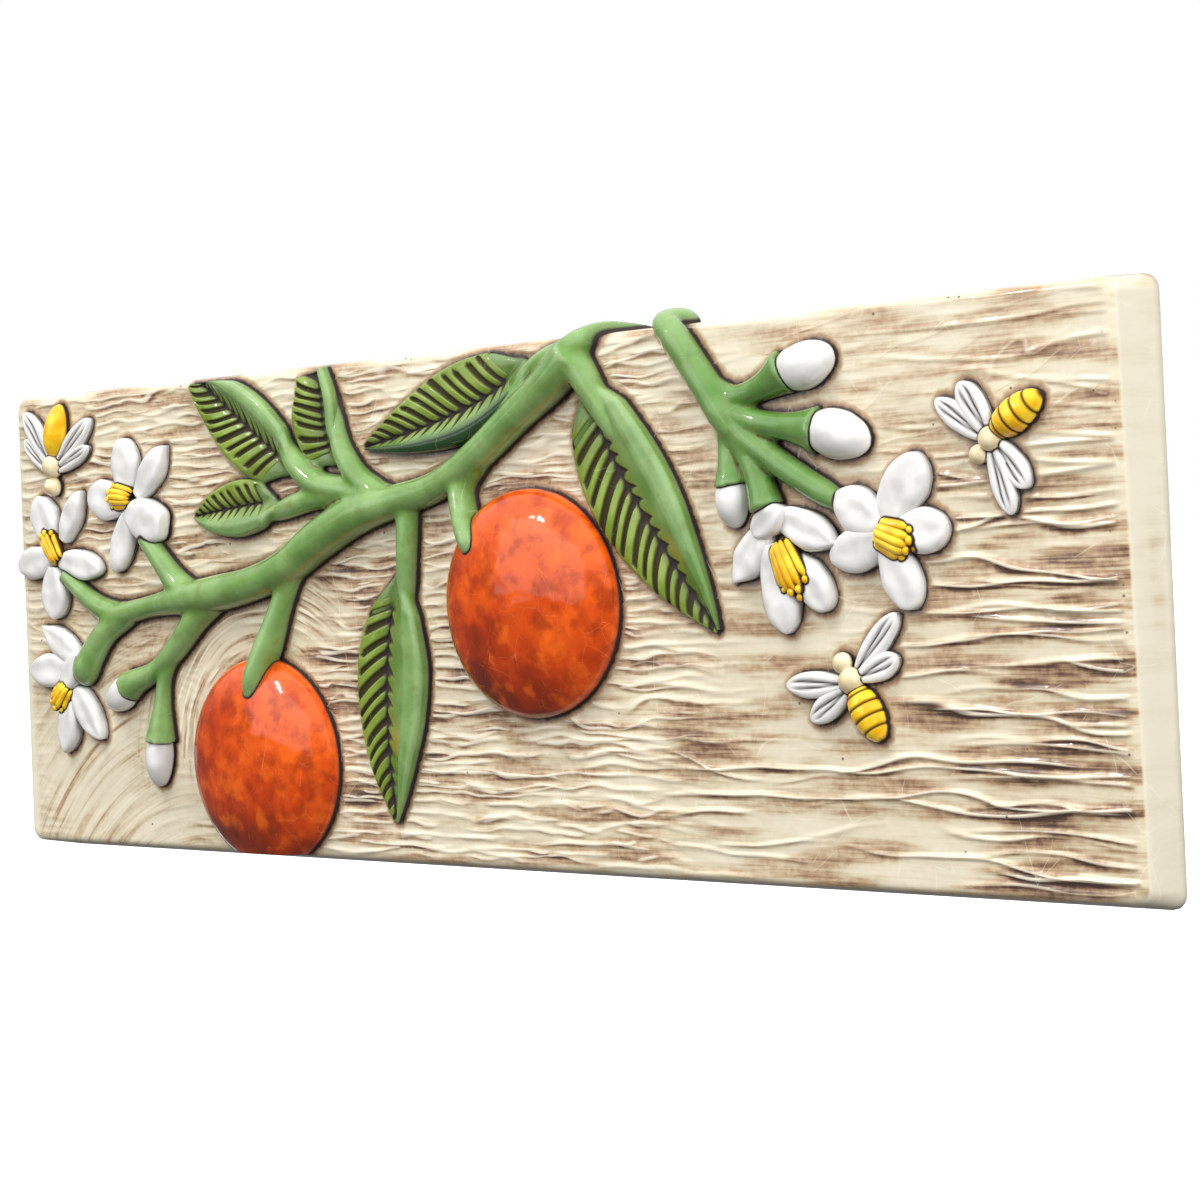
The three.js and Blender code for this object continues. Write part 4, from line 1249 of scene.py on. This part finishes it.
wing_spots = []
ball_spots = []
for bee in BEES:
    for x0, z0, x1, z1, width in bee["wings"]:
        turn, length = heading(x0, z0, x1, z1)
        wing_spots.append((x0, z0, 0, turn, 0, width, length, WING_CREST))
    for x, z, half in (bee["head"], bee["thorax"]):
        ball_spots.append((x, z - half, BALL_AXIS, 0, 0, half, 2 * half, half))
wing = pad_shape("wing", WING_TIP, WING_RIM, WING_HOLLOW, WING_VEINS)
wings = placed("bee_wings", wing, wing_spots, white_glaze, "wing")
ball = turned_shape("ball", ball_radii, BALL_SIDES, np.zeros(BALL_STEPS))
heads = placed("bee_heads", ball, ball_spots, cream_glaze, "head")

# %% Abdomens of the bees
ABDOMEN_SKEW = 0.9
STRIPE_PITCHES = 4.7  # how many times the way from stripe to stripe fits into the length
STRIPE_START = 0.2
STRIPE_DEPTH = 0.1
STRIPE_HALF = 0.12

stripe_phase = (along * STRIPE_PITCHES - STRIPE_START) % 1 - 0.5
stripe_lines = np.exp(-((stripe_phase / STRIPE_HALF) ** 2))
abdomen_groups = []
for striped, lines in ((False, no_lines), (True, stripe_lines)):
    eggs = [bee["abdomen"] for bee in BEES if bee["striped"] == striped]
    radii = egg_radii(ABDOMEN_SKEW) * (1 - STRIPE_DEPTH * lines)
    body = turned_shape("abdomen_egg", radii, EGG_SIDES, lines)
    abdomen_groups.append(placed(f"abdomens_{len(eggs)}", body, egg_spots(eggs), yellow_glaze, "abdomen"))
abdomens = merged("bee_abdomens", abdomen_groups)

# %% [markdown]
# ## Measuring hollows and joints
# The glazes need to know where they pool. One tree measures three things at every point: `hollow`, how deep
# the point lies below the smoothed surface round it, `contact`, how far it is from the nearest other form,
# and `foot`, how far it is from the ground. Where another form stands in front of a point that faces the
# front, its distance counts as negative, so that the line between the two crosses zero smoothly.

# %% Tree that measures hollows and joints
COVER_REACH = 40 * MM
FACING = (-0.2, -0.4)  # y of a normal, from where it begins to face the front to where it fully does


def distance_to(tree, geometry):
    return node(tree, "GeometryNodeProximity", {0: geometry}, target_element="FACES").outputs["Distance"]


def measure_tree(name, neighbours, below):
    tree, given = start_tree(name, [("Passes", "Int")])
    place = node(tree, "GeometryNodeInputPosition").outputs[0]
    normal = node(tree, "GeometryNodeInputNormal").outputs[0]
    inputs = {"Value": place, "Iterations": given["Passes"]}
    evened = node(tree, "GeometryNodeBlurAttribute", inputs, data_type="FLOAT_VECTOR").outputs[0]
    sunk = vector_maths(tree, "SUBTRACT", evened, place).outputs[0]
    joined = node(tree, "GeometryNodeJoinGeometry")
    for neighbour in neighbours:
        tree.links.new(shape_of(tree, neighbour), joined.inputs[0])
    others = joined.outputs[0]
    inputs = {"Target Geometry": others, "Ray Direction": (0, -1, 0), "Ray Length": COVER_REACH}
    covered = node(tree, "GeometryNodeRaycast", inputs).outputs["Is Hit"]
    # A covered point that faces the front takes the full oxide line: partly oxide in the joint, partly
    # painted shade under the overhanging form
    hidden = times(tree, covered, fade(tree, along_axis(tree, normal, "Y"), *FACING))
    sign = fade(tree, hidden, 0.0, 1.0, 1.0, -1.0)
    measures = {
        "hollow": vector_maths(tree, "DOT_PRODUCT", sunk, normal).outputs["Value"],
        "contact": times(tree, distance_to(tree, others), sign),
    }
    if below:
        measures["foot"] = distance_to(tree, shape_of(tree, below))
    geometry = given["Geometry"]
    for label, metres in measures.items():
        inputs = {"Geometry": geometry, "Name": label, "Value": maths(tree, "DIVIDE", metres, MM)}
        kept = node(tree, "GeometryNodeStoreNamedAttribute", inputs, data_type="FLOAT", domain="POINT")
        geometry = kept.outputs[0]
    end_tree(tree, geometry, given)
    return tree


def measured_mesh(piece, passes, neighbours, below=None, material=None):
    """The piece's mesh with its measures, leaving the piece as it was."""
    tree = measure_tree("measure_" + piece.name, neighbours, below)
    use_tree(piece, tree, Passes=passes, Glaze=material)
    mesh = worked_out(piece)
    piece.modifiers.clear()
    return mesh


print("points are measured up to", COVER_REACH / MM, "mm under a form")

# %% [markdown]
# ## The ground
# The slab's front was combed with a notched tool: short strokes close together round the fruit, long
# wavering ridges with flat troughs on the right, and swirls at the lower left. A wash of brown oxide was
# wiped off again and stayed in the troughs. The slab is a fine grid on the front with rounded edges, sides
# and a flat back. Each point carries a weight for every kind of comb mark, and a Geometry Nodes tree raises
# the marks from stretched noise. The glaze draws its wash from the same nodes, so the colour lies exactly
# along the crests.

# %% Outline of the slab, in millimetres
WIDTH = 525
BACK_BOTTOM = -94
BACK_TOP = 91.5
FRONT_HALF = 90
LEAN_LEFT = 5.5
LEAN_RIGHT = 2.5
EDGE_ROUND = 2.4


def slab_place(p, q, inset, depth):
    """A point of the slab: shares p along and q up it, an inset from its edges, a depth behind the front."""
    back = np.clip((depth - EDGE_ROUND) / (THICKNESS - EDGE_ROUND), 0, 1)
    lean = q * (1 - back)
    left = -WIDTH / 2 + LEAN_LEFT * lean + inset
    right = WIDTH / 2 - LEAN_RIGHT * lean - inset
    bottom = -FRONT_HALF + (BACK_BOTTOM + FRONT_HALF) * back + inset
    top = FRONT_HALF + (BACK_TOP - FRONT_HALF) * back - inset
    return on_face(left + (right - left) * p, bottom + (top - bottom) * q, -depth + 0 * p)


print("slab", WIDTH, "by", 2 * FRONT_HALF, "by", THICKNESS, "mm")

# %% Grid of the front
CORNER_RADIUS = 5
COLUMNS = 300
ROWS = 284

rows = np.linspace(0, 1, ROWS)
from_end = np.minimum(rows, 1 - rows) * 2 * FRONT_HALF
into_corner = np.clip(CORNER_RADIUS - from_end, 0, None)
short = CORNER_RADIUS - np.sqrt(np.clip(CORNER_RADIUS**2 - into_corner**2, 0, None))
short = (short / WIDTH)[:, None]
p = short + np.linspace(0, 1, COLUMNS) * (1 - 2 * short)
q = np.repeat(rows[:, None], COLUMNS, axis=1)
index = np.arange(ROWS * COLUMNS).reshape(ROWS, COLUMNS)
rim = np.concatenate([index[0, :-1], index[:-1, -1], index[-1, :0:-1], index[:0:-1, 0]])
print("slab grid", COLUMNS, "by", ROWS, "with", len(rim), "points round it")

# %% Slab: the grid, the rings round its sides, and the back
ROUND_STEPS = 5
SIDE_STEPS = 7
BACK_ROUND = 0.8
BACK_ROUND_DEPTH = 1
BACK_RIM = 6  # flat border of the back, which keeps its shading flat too
SLAB_PASSES = 6

rings = []
for angle in np.linspace(0, np.pi / 2, ROUND_STEPS)[1:]:
    rings.append((EDGE_ROUND * (1 - np.sin(angle)), EDGE_ROUND * (1 - np.cos(angle))))
for depth in np.linspace(EDGE_ROUND, THICKNESS - BACK_ROUND_DEPTH, SIDE_STEPS)[1:]:
    rings.append((0, depth))
rings.append((BACK_ROUND, THICKNESS))
rings.append((BACK_RIM, THICKNESS))
slab_points = [slab_place(p, q, EDGE_ROUND, 0).reshape(-1, 3)]
slab_points += [slab_place(p.ravel()[rim], q.ravel()[rim], inset, depth) for inset, depth in rings]
slab_faces = [
    (index[j, i], index[j, i + 1], index[j + 1, i + 1], index[j + 1, i])
    for j in range(ROWS - 1)
    for i in range(COLUMNS - 1)
]
inner = rim
for k in range(len(rings)):
    outer = ROWS * COLUMNS + k * len(rim) + np.arange(len(rim))
    slab_faces += list(zip(np.roll(inner, -1), inner, outer, np.roll(outer, -1)))
    inner = outer
slab_faces.append(tuple(inner[::-1]))
slab_faces = [tuple(int(i) for i in face) for face in slab_faces]
slab = mesh_object("slab", np.vstack(slab_points), slab_faces)
forms = [branch, leaves, oranges, petals, buds, wings, heads, abdomens]
slab.data = measured_mesh(slab, SLAB_PASSES, forms)
print("slab measured against", len(forms), "pieces")

# %% Points of the slab, as numbers
FRONT_RANGE = (1.5, 0.6)  # depths behind the front between which a point comes to count as part of it
LEFT_RANGE = (4, 9)  # millimetres from the left-hand end, over which the marks begin


def spot(x, z, at_x, at_z, reach_x, reach_z):
    """A soft round spot: 1 in its middle, and little left beyond its reach."""
    return np.exp(-(((x - at_x) / reach_x) ** 2) - ((z - at_z) / reach_z) ** 2)


places = np.empty(len(slab.data.vertices) * 3)
slab.data.vertices.foreach_get("co", places)
x, y, z = places.reshape(-1, 3).T / MM
contact = np.empty(len(x))
slab.data.attributes["contact"].data.foreach_get("value", contact)
from_left = x + WIDTH / 2
from_right = WIDTH / 2 - LEAN_RIGHT * (z + FRONT_HALF) / (2 * FRONT_HALF) - x
from_orange = np.hypot(x - ORANGES[0][0], z - ORANGES[0][1])
on_front = ease(y + THICKNESS, *FRONT_RANGE)
off_left = ease(from_left, *LEFT_RANGE)
print(len(x), "points,", round(100 * float((on_front > 0.5).mean())), "% of them on the front")

# %% Where each kind of comb mark lies: a range goes from where the mark starts to where it is full
RING_RANGE = (88, 62)  # millimetres from the middle of the left orange
RING_SLOPE = (-60, -90)  # x less z, which keeps the rings to the upper left of it
RING_FLOOR = (-75, -45)
SWIRL_SPOT = (-200, -60, 62, 46)
SWIRL_FULL = 1.6
LONG_RANGE = (60, 110)
LONG_CEILING = (-32, -50)
LINED_RANGE = (150, 195)
EDGED_RANGE = (188, 222)
CALM_RANGE = (25, 60)  # heights between which the lines calm down towards the top
COMBED_END = (75, 135)
WRINKLED_RANGE = (80, 150)
WRINKLED_FLOOR = (15, 50)
RIGHT_RANGE = (2.4, 4.4)  # millimetres from the right-hand end, from the long edges, and from another form
EDGE_RANGE = (0.5, 4)
FORM_RANGE = (0.6, 3.2)
PITTED_RIGHT = (8, 4)
PITTED_TOP = (5, 2)

ringed = ease(from_orange, *RING_RANGE) * ease(x - z, *RING_SLOPE) * ease(z, *RING_FLOOR)
swirled = np.clip(spot(x, z, *SWIRL_SPOT) * SWIRL_FULL, 0, 1) * (1 - ringed)
long_lines = ease(x, *LONG_RANGE) * ease(z, *LONG_CEILING)
calm = ease(z, *CALM_RANGE)
off_ends = ease(from_right, *RIGHT_RANGE) * off_left
off_edges = on_front * off_ends * ease(FRONT_HALF - np.abs(z), *EDGE_RANGE)
weights = {
    "ringed": ringed,
    "swirled": swirled,
    "lined": np.maximum(ease(x, *LINED_RANGE), long_lines) * (1 - 0.6 * calm),
    "edged": 0.8 * ease(x, *EDGED_RANGE) * (1 - 0.5 * calm),
    "combed": (1 - ease(x, *COMBED_END)) * (1 - swirled) * (1 - ringed) * (1 - 0.6 * long_lines),
    "wrinkled": 0.6 * ease(x, *WRINKLED_RANGE) * ease(z, *WRINKLED_FLOOR),
    "brushed": 0.4 * swirled,
    "marks": off_edges * ease(contact, *FORM_RANGE),
    "pitted": on_front * np.maximum(ease(from_right, *PITTED_RIGHT), ease(FRONT_HALF - z, *PITTED_TOP)),
}
print("comb marks cover", round(100 * float((weights["marks"] > 0.5).mean())), "% of the points")

# %% How much of the wash stayed, and the painted shade of the top and bottom faces
# Darker places: x, z, their reach along and up the tile, and how much more wash they hold
WASHES = [
    (242, -22, 42, 72, 0.6), (-70, -25, 22, 55, 0.5), (-10, -20, 30, 60, 0.35), (-60, 0, 140, 70, 0.18),
    (252, -84, 12, 14, 0.5), (258, -58, 5, 34, 0.35), (105, -35, 24, 26, 0.2),
]
WASH = 0.64
WASH_MOST = 1.1
WASH_LEFT = 0.1  # share of it that stayed along the left-hand edge
SIDE_WASH = 0.08
SIDE_STAIN = (-9, 2, 3, 13)  # an old stain on the right-hand end: y, z and its reach
SIDE_STAIN_WASH = 0.5
RIGHT_END = 5  # millimetres of width that count as the right-hand end
SIDE_RIM = (86, 89)  # heights, up and down, between which the side turns into its rim of painted shade
SIDE_RIM_SHADE = 0.35
WRINKLED_LESS = 0.15

wash = WASH - WRINKLED_LESS * weights["wrinkled"]
for *where, more in WASHES:
    wash = wash + more * spot(x, z, *where)
front_wash = np.clip(wash, 0, WASH_MOST) * (WASH_LEFT + (1 - WASH_LEFT) * off_left)
stain = SIDE_STAIN_WASH * spot(y, z, *SIDE_STAIN) * (x > WIDTH / 2 - RIGHT_END)
# painted shade darkens the top and bottom faces against the strong light from above; the stain on the
# right-hand end is real
side_wash_and_shade = SIDE_WASH + stain + SIDE_RIM_SHADE * ease(np.abs(z), *SIDE_RIM)
weights["wash"] = front_wash * on_front + side_wash_and_shade * (1 - on_front)
for label, values in weights.items():
    store(slab.data, label, values.astype(np.float32))
print(len(weights), "weights on the slab,", len(WASHES), "darker places")

# %% Kinds of comb marks
# Each kind: where it lies, its height, its direction, pitch, half width of a crest, sway (height, length and
# thickness of its waves), and how long and thick a stretch is before it breaks off
COMBS = [
    ("lined", "Ridge height", "level", 9.6, 0.95, (17, 58, 26), (80, 8)),
    ("lined", "Ridge height", "level", 14.2, 1.0, (30, 76, 30), (46, 9)),
    ("edged", "Ridge height", "level", 8.3, 0.9, (12, 50, 24), (60, 7)),
    ("combed", "Stroke height", "level", 3.7, 1.15, (7, 22, 12), (18, 3.6)),
    ("combed", "Stroke height", "level", 5.9, 1.3, (14, 30, 15), (17, 4.5)),
    ("brushed", "Stroke height", "swirl", 7.5, 2.4, (14, 50, 20), (34, 7)),
    ("ringed", "Stroke height", "ring", 4.2, 1.4, (6, 40, 14), (36, 4)),
    ("wrinkled", "Wrinkle height", "slanting", 8.3, 1.7, (34, 30, 18), (24, 8)),
]
COMB_HEIGHTS = {"Ridge height": 0.9 * MM, "Stroke height": 0.46 * MM, "Wrinkle height": 0.28 * MM}
# How dark the band along the lower side of a crest is, partly wash and partly painted shadow, and how far
# from the crest, in millimetres, it starts and is full, seen from below and from the crest
UNDER_SHARE = {"Ridge height": 1.0, "Stroke height": 0.65, "Wrinkle height": 0.4}
UNDER_FAR = (-2.6, -0.7)
UNDER_NEAR = (-0.1, -0.8)
BREAK_RANGE = (-0.12, 0.02)  # levels of noise between which a crest comes up
BREAK_SHIFT = 5.5


def grain(tree, along, across, long, thick, shift):
    """Noise round zero whose grains are long along one way and thick across it."""
    inputs = {0: maths(tree, "DIVIDE", along, long), 1: maths(tree, "DIVIDE", across, thick), 2: shift}
    vector = node(tree, "ShaderNodeCombineXYZ", inputs).outputs[0]
    noise = node(tree, "ShaderNodeTexNoise", {"Vector": vector, "Scale": 1.0, "Detail": 1.0}).outputs[0]
    return minus(tree, noise, 0.5)


def comb(tree, along, across, pitch, half, sway, broken, shift):
    """Crests a pitch apart that sway up and down and break off, and the band of wash and painted shadow below
    each crest.
    """
    drift = times(tree, grain(tree, along, across, *sway[1:], shift), sway[0])
    moved = plus(tree, across, drift)
    phase = minus(tree, maths(tree, "FRACT", maths(tree, "DIVIDE", moved, pitch)), 0.5)
    offset = times(tree, phase, pitch)
    kept = fade(tree, grain(tree, along, moved, *broken, shift + BREAK_SHIFT), *BREAK_RANGE)
    crest = fade(tree, maths(tree, "ABSOLUTE", offset), half, 0.0)
    below = times(tree, fade(tree, offset, *UNDER_FAR), fade(tree, offset, *UNDER_NEAR))
    return times(tree, crest, kept), times(tree, below, kept)


print(len(COMBS), "kinds of comb marks")

# %% Comb marks, as nodes that both the shape and the glaze use
SLANT = 0.34
TURN_REACH = 70  # millimetres along a swirl or ring for each radian
SWIRL_CENTRE = (-150, -155)


def turning(tree, x, z, centre):
    """How far a place lies round a centre and away from it."""
    from_x = minus(tree, x, centre[0])
    from_z = minus(tree, z, centre[1])
    squares = plus(tree, maths(tree, "POWER", from_x, 2.0), maths(tree, "POWER", from_z, 2.0))
    angle = maths(tree, "ARCTAN2", from_z, from_x)
    return times(tree, angle, TURN_REACH), maths(tree, "SQRT", squares)


def comb_ways(tree, place):
    """Coordinates along and across each direction of combing."""
    x = along_axis(tree, place, "X")
    z = along_axis(tree, place, "Z")
    return {
        "level": (x, z),
        "slanting": (x, minus(tree, z, times(tree, x, SLANT))),
        "swirl": turning(tree, x, z, SWIRL_CENTRE),
        "ring": turning(tree, x, z, ORANGES[0]),
    }


def comb_marks(tree, ways, weight):
    """The crest and the shadowed lower side of every kind of comb mark, each with the name of its height. The
    lower side is a band of wash and painted shadow.
    """
    marks = []
    for number, (label, height, way, *shape) in enumerate(COMBS):
        crest, below = comb(tree, *ways[way], *shape, number + 1.0)
        share = times(tree, weight(label), weight("marks"))
        dark = times(tree, share, UNDER_SHARE[height])
        marks.append((height, times(tree, crest, share), times(tree, below, dark)))
    return marks


print("swirls turn round", SWIRL_CENTRE, "and rings round", ORANGES[0])

# %% Tree that combs the ground
SWELL = 1.2  # slow rise and fall of the ground, in millimetres
SWELL_GRAIN = (45, 30)  # how long and thick it is


def ground_tree(name):
    tree, given = start_tree(name, [(height, "Float") for height in COMB_HEIGHTS])
    metres = node(tree, "GeometryNodeInputPosition").outputs[0]
    ways = comb_ways(tree, scaled(tree, metres, 1 / MM))

    def weight(label):
        return stored(tree, label)

    swell = times(tree, grain(tree, *ways["level"], *SWELL_GRAIN, 9.0), SWELL * MM)
    raised = times(tree, swell, weight("marks"))
    for height, crest, _ in comb_marks(tree, ways, weight):
        raised = plus(tree, raised, times(tree, crest, given[height]))
    outward = node(tree, "ShaderNodeCombineXYZ", {1: times(tree, raised, -1.0)}).outputs[0]
    inputs = {"Geometry": given["Geometry"], "Offset": outward}
    end_tree(tree, node(tree, "GeometryNodeSetPosition", inputs).outputs[0], given)
    return tree


combing = ground_tree("comb_ground")
print("the ground swells by", SWELL, "mm")

# %% [markdown]
# The ground's glaze is cream. The brown wash shows in the troughs, in patches, and as a halo round every
# form, and a painted shadow, with some wash, darkens the lower side of each crest. Pale crackle lines cross
# it, and pinholes pit the edges. The back is bare clay, so the same material turns to matt buff there.

# %% Wash of oxide
SWIRL_STREAKS = (26, 0.9)  # length and thickness of what the brush left along swirls and rings
SWIRL_CLOUDS = (36, 3.2)


def blended(tree, share, first, second):
    """The first number, or as much of the second as the share says."""
    return node(tree, "ShaderNodeMix", {0: share, 2: first, 3: second}).outputs[0]


def brushwork(tree, place, ways):
    """Patches and streaks of the wash, level or bent along the swirls and rings."""
    patches = fade(tree, mottle(tree, place, (42, 42, 7), shift=2.0, detail=3.0), 0.4, 0.68)
    streaks = mottle(tree, place, (22, 22, 0.9), shift=5.0, detail=3.0)
    for label, way in (("swirled", "swirl"), ("ringed", "ring")):
        share = measured(tree, label)
        lines = plus(tree, grain(tree, *ways[way], *SWIRL_STREAKS, 3.0), 0.5)
        clouds = fade(tree, grain(tree, *ways[way], *SWIRL_CLOUDS, 8.0), -0.05, 0.3)
        streaks = blended(tree, share, streaks, lines)
        patches = blended(tree, share, patches, clouds)
    return patches, streaks


def wash_and_painted_shadow(tree, place, ways, drags, under):
    """How dark a place is: wash in patches, wash and painted shadow under the crests, streaked by the brush.
    """
    patches, streaks = brushwork(tree, place, ways)
    dark_side = fade(tree, mottle(tree, place, (30, 30, 12), shift=11.0), 0.4, 0.65, 0.05, 0.9)
    wash_and_shadow = plus(tree, times(tree, patches, 0.75), 0.16)
    # painted shadow, with some wash, along the lower side of every crest
    wash_and_shadow = plus(tree, wash_and_shadow, times(tree, under, dark_side))
    streaked = fade(tree, streaks, 0.3, 0.75, 0.55, 1.15)
    texture = plus(tree, streaked, fade(tree, drags, 0.3, 0.7, -0.12, 0.12))
    return times(tree, times(tree, wash_and_shadow, texture), measured(tree, "wash"))


print("wash streaks", SWIRL_STREAKS[0], "mm long")

# %% Cream ground
STAINS = [
    (0.0, (231, 224, 203)),
    (0.2, (213, 199, 170)),
    (0.45, (182, 154, 122)),
    (0.72, (130, 101, 80)),
    (1.0, (84, 64, 54)),
]
GROUND_TONES = painted({
    "crest": (240, 230, 208),
    "crack": (250, 244, 226),
    "pit": (84, 62, 48),
    "dark clay": (202, 178, 148),
    "pale clay": (220, 200, 172),
})
HALO_STRAY = 1.8  # how ragged the halo round a form is, in millimetres
PIT_PITCH = 4  # millimetres from one possible pinhole to the next
PIT_SIZE = (0.16, 0.08)
PIT_CHANCE = (0.965, 0.975)
PIT_MORE = 0.45  # how much likelier pinholes are along the edges
BACK_RANGE = (-1.4, -0.5)  # depths between which the glaze gives way to bare clay


def colour_scale(tree, value, stops):
    ramp = node(tree, "ShaderNodeValToRGB", {0: value})
    while len(ramp.color_ramp.elements) < len(stops):
        ramp.color_ramp.elements.new(0.5)
    for element, (position, colour) in zip(ramp.color_ramp.elements, stops):
        element.position = position
        element.color = paint(*colour)
    return ramp.outputs[0]


def largest(tree, values):
    found = values[0]
    for value in values[1:]:
        found = maths(tree, "MAXIMUM", found, value)
    return found


def pinholes(tree, place):
    inputs = {"Vector": stretched(tree, place, even(PIT_PITCH), 4.0), "Scale": 1.0}
    holes = node(tree, "ShaderNodeTexVoronoi", inputs).outputs
    chance = node(tree, "ShaderNodeSeparateColor", {0: holes["Color"]}).outputs[0]
    often = plus(tree, chance, times(tree, measured(tree, "pitted"), PIT_MORE))
    return times(tree, fade(tree, holes["Distance"], *PIT_SIZE), fade(tree, often, *PIT_CHANCE))


def ground_run(tree, place):
    """Cream with its wash, halos, pale crests, cracks and pinholes, and bare clay on the back."""
    ways = comb_ways(tree, place)
    marks = comb_marks(tree, ways, lambda label: measured(tree, label))
    crest = largest(tree, [line for _, line, _ in marks])
    under = largest(tree, [side for _, _, side in marks])
    drags = mottle(tree, place, (2.4, 9, 2.4), shift=8.0, detail=3.0)
    wash_and_shadow = wash_and_painted_shadow(tree, place, ways, drags, under)
    ragged = times(tree, minus(tree, drags, 0.5), HALO_STRAY)
    near = plus(tree, measured(tree, "contact"), ragged)
    halo = fade(tree, near, 4.0, 0.4, high=0.7)
    line = fade(tree, near, 1.1, 0.3, high=0.95)
    colour = colour_scale(tree, maths(tree, "MAXIMUM", wash_and_shadow, halo), STAINS)
    colour = mixed(tree, line, colour, paint(*OXIDE))
    pale = times(tree, fade(tree, crest, 0.35, 0.95, high=0.75), minus(tree, 1.0, line))
    colour = mixed(tree, pale, colour, GROUND_TONES["crest"])
    cracks = times(tree, crackle(tree, place, size=24, width=0.17), 0.3)
    colour = mixed(tree, cracks, colour, GROUND_TONES["crack"])
    colour = mixed(tree, times(tree, pinholes(tree, place), 0.8), colour, GROUND_TONES["pit"])
    clouds = fade(tree, mottle(tree, place, even(30), shift=6.0, detail=5.0), 0.35, 0.7)
    clay = mixed(tree, clouds, GROUND_TONES["dark clay"], GROUND_TONES["pale clay"])
    return mixed(tree, fade(tree, along_axis(tree, place, "Y"), *BACK_RANGE), colour, clay)


ground_glaze = glaze("ground_glaze", ground_run, seam=0, roughness=0.2, ripple=0.3, coat=0.35)
use_tree(slab, combing, Glaze=ground_glaze, **COMB_HEIGHTS)
ground = settle(slab, "ground")

# %% [markdown]
# ## Measuring the forms
# Now that the ground is combed, every form is measured against it and against its own neighbours. All are
# measured before any is changed, because they measure each other.

# %% Measure every form: piece, glaze, smoothing passes and neighbours
FORMS = {
    "branch": (branch, green_glaze, 8, ("oranges", "petals", "buds")),
    "leaves": (leaves, green_glaze, 10, ("oranges",)),
    "oranges": (oranges, orange_glaze, 4, ("branch", "leaves")),
    "petals": (petals, white_glaze, 6, ("stamens", "branch")),
    "buds": (buds, white_glaze, 4, ("branch",)),
    "stamens": (stamens, yellow_glaze, 4, ("petals",)),
    "bee_wings": (wings, white_glaze, 5, ("bee_heads", "bee_abdomens")),
    "bee_heads": (heads, cream_glaze, 3, ("bee_abdomens", "bee_wings")),
    "bee_abdomens": (abdomens, yellow_glaze, 8, ("bee_heads",)),
}

measured_meshes = {}
for name, (piece, material, passes, neighbours) in FORMS.items():
    others = [FORMS[neighbour][0] for neighbour in neighbours]
    measured_meshes[name] = measured_mesh(piece, passes, others, ground, material)
total = triangle_count(ground.data)
for name, mesh in measured_meshes.items():
    FORMS[name][0].data = mesh
    mesh.name = name
    total += triangle_count(mesh)
print(len(FORMS), "forms on the ground,", total, "triangles in all")

# %% [markdown]
# ## Attaching the pieces
# Every piece rides on the tile's one body. The ground stands for the imported solid, which is hidden, and the
# other pieces are the glazes laid on it.

# %% Ride and replace
SLOTS = {
    "branch": "leaf_glaze",
    "leaves": "leaf_glaze",
    "oranges": "orange_glaze",
    "petals": "white_glaze",
    "buds": "white_glaze",
    "stamens": "yellow_glaze",
    "bee_wings": "white_glaze",
    "bee_heads": "ground_glaze",
    "bee_abdomens": "yellow_glaze",
    "ground": "ground_glaze",
}
for name, slot in SLOTS.items():
    piece = bpy.data.objects[name]
    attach(piece, "root")
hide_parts("tile")
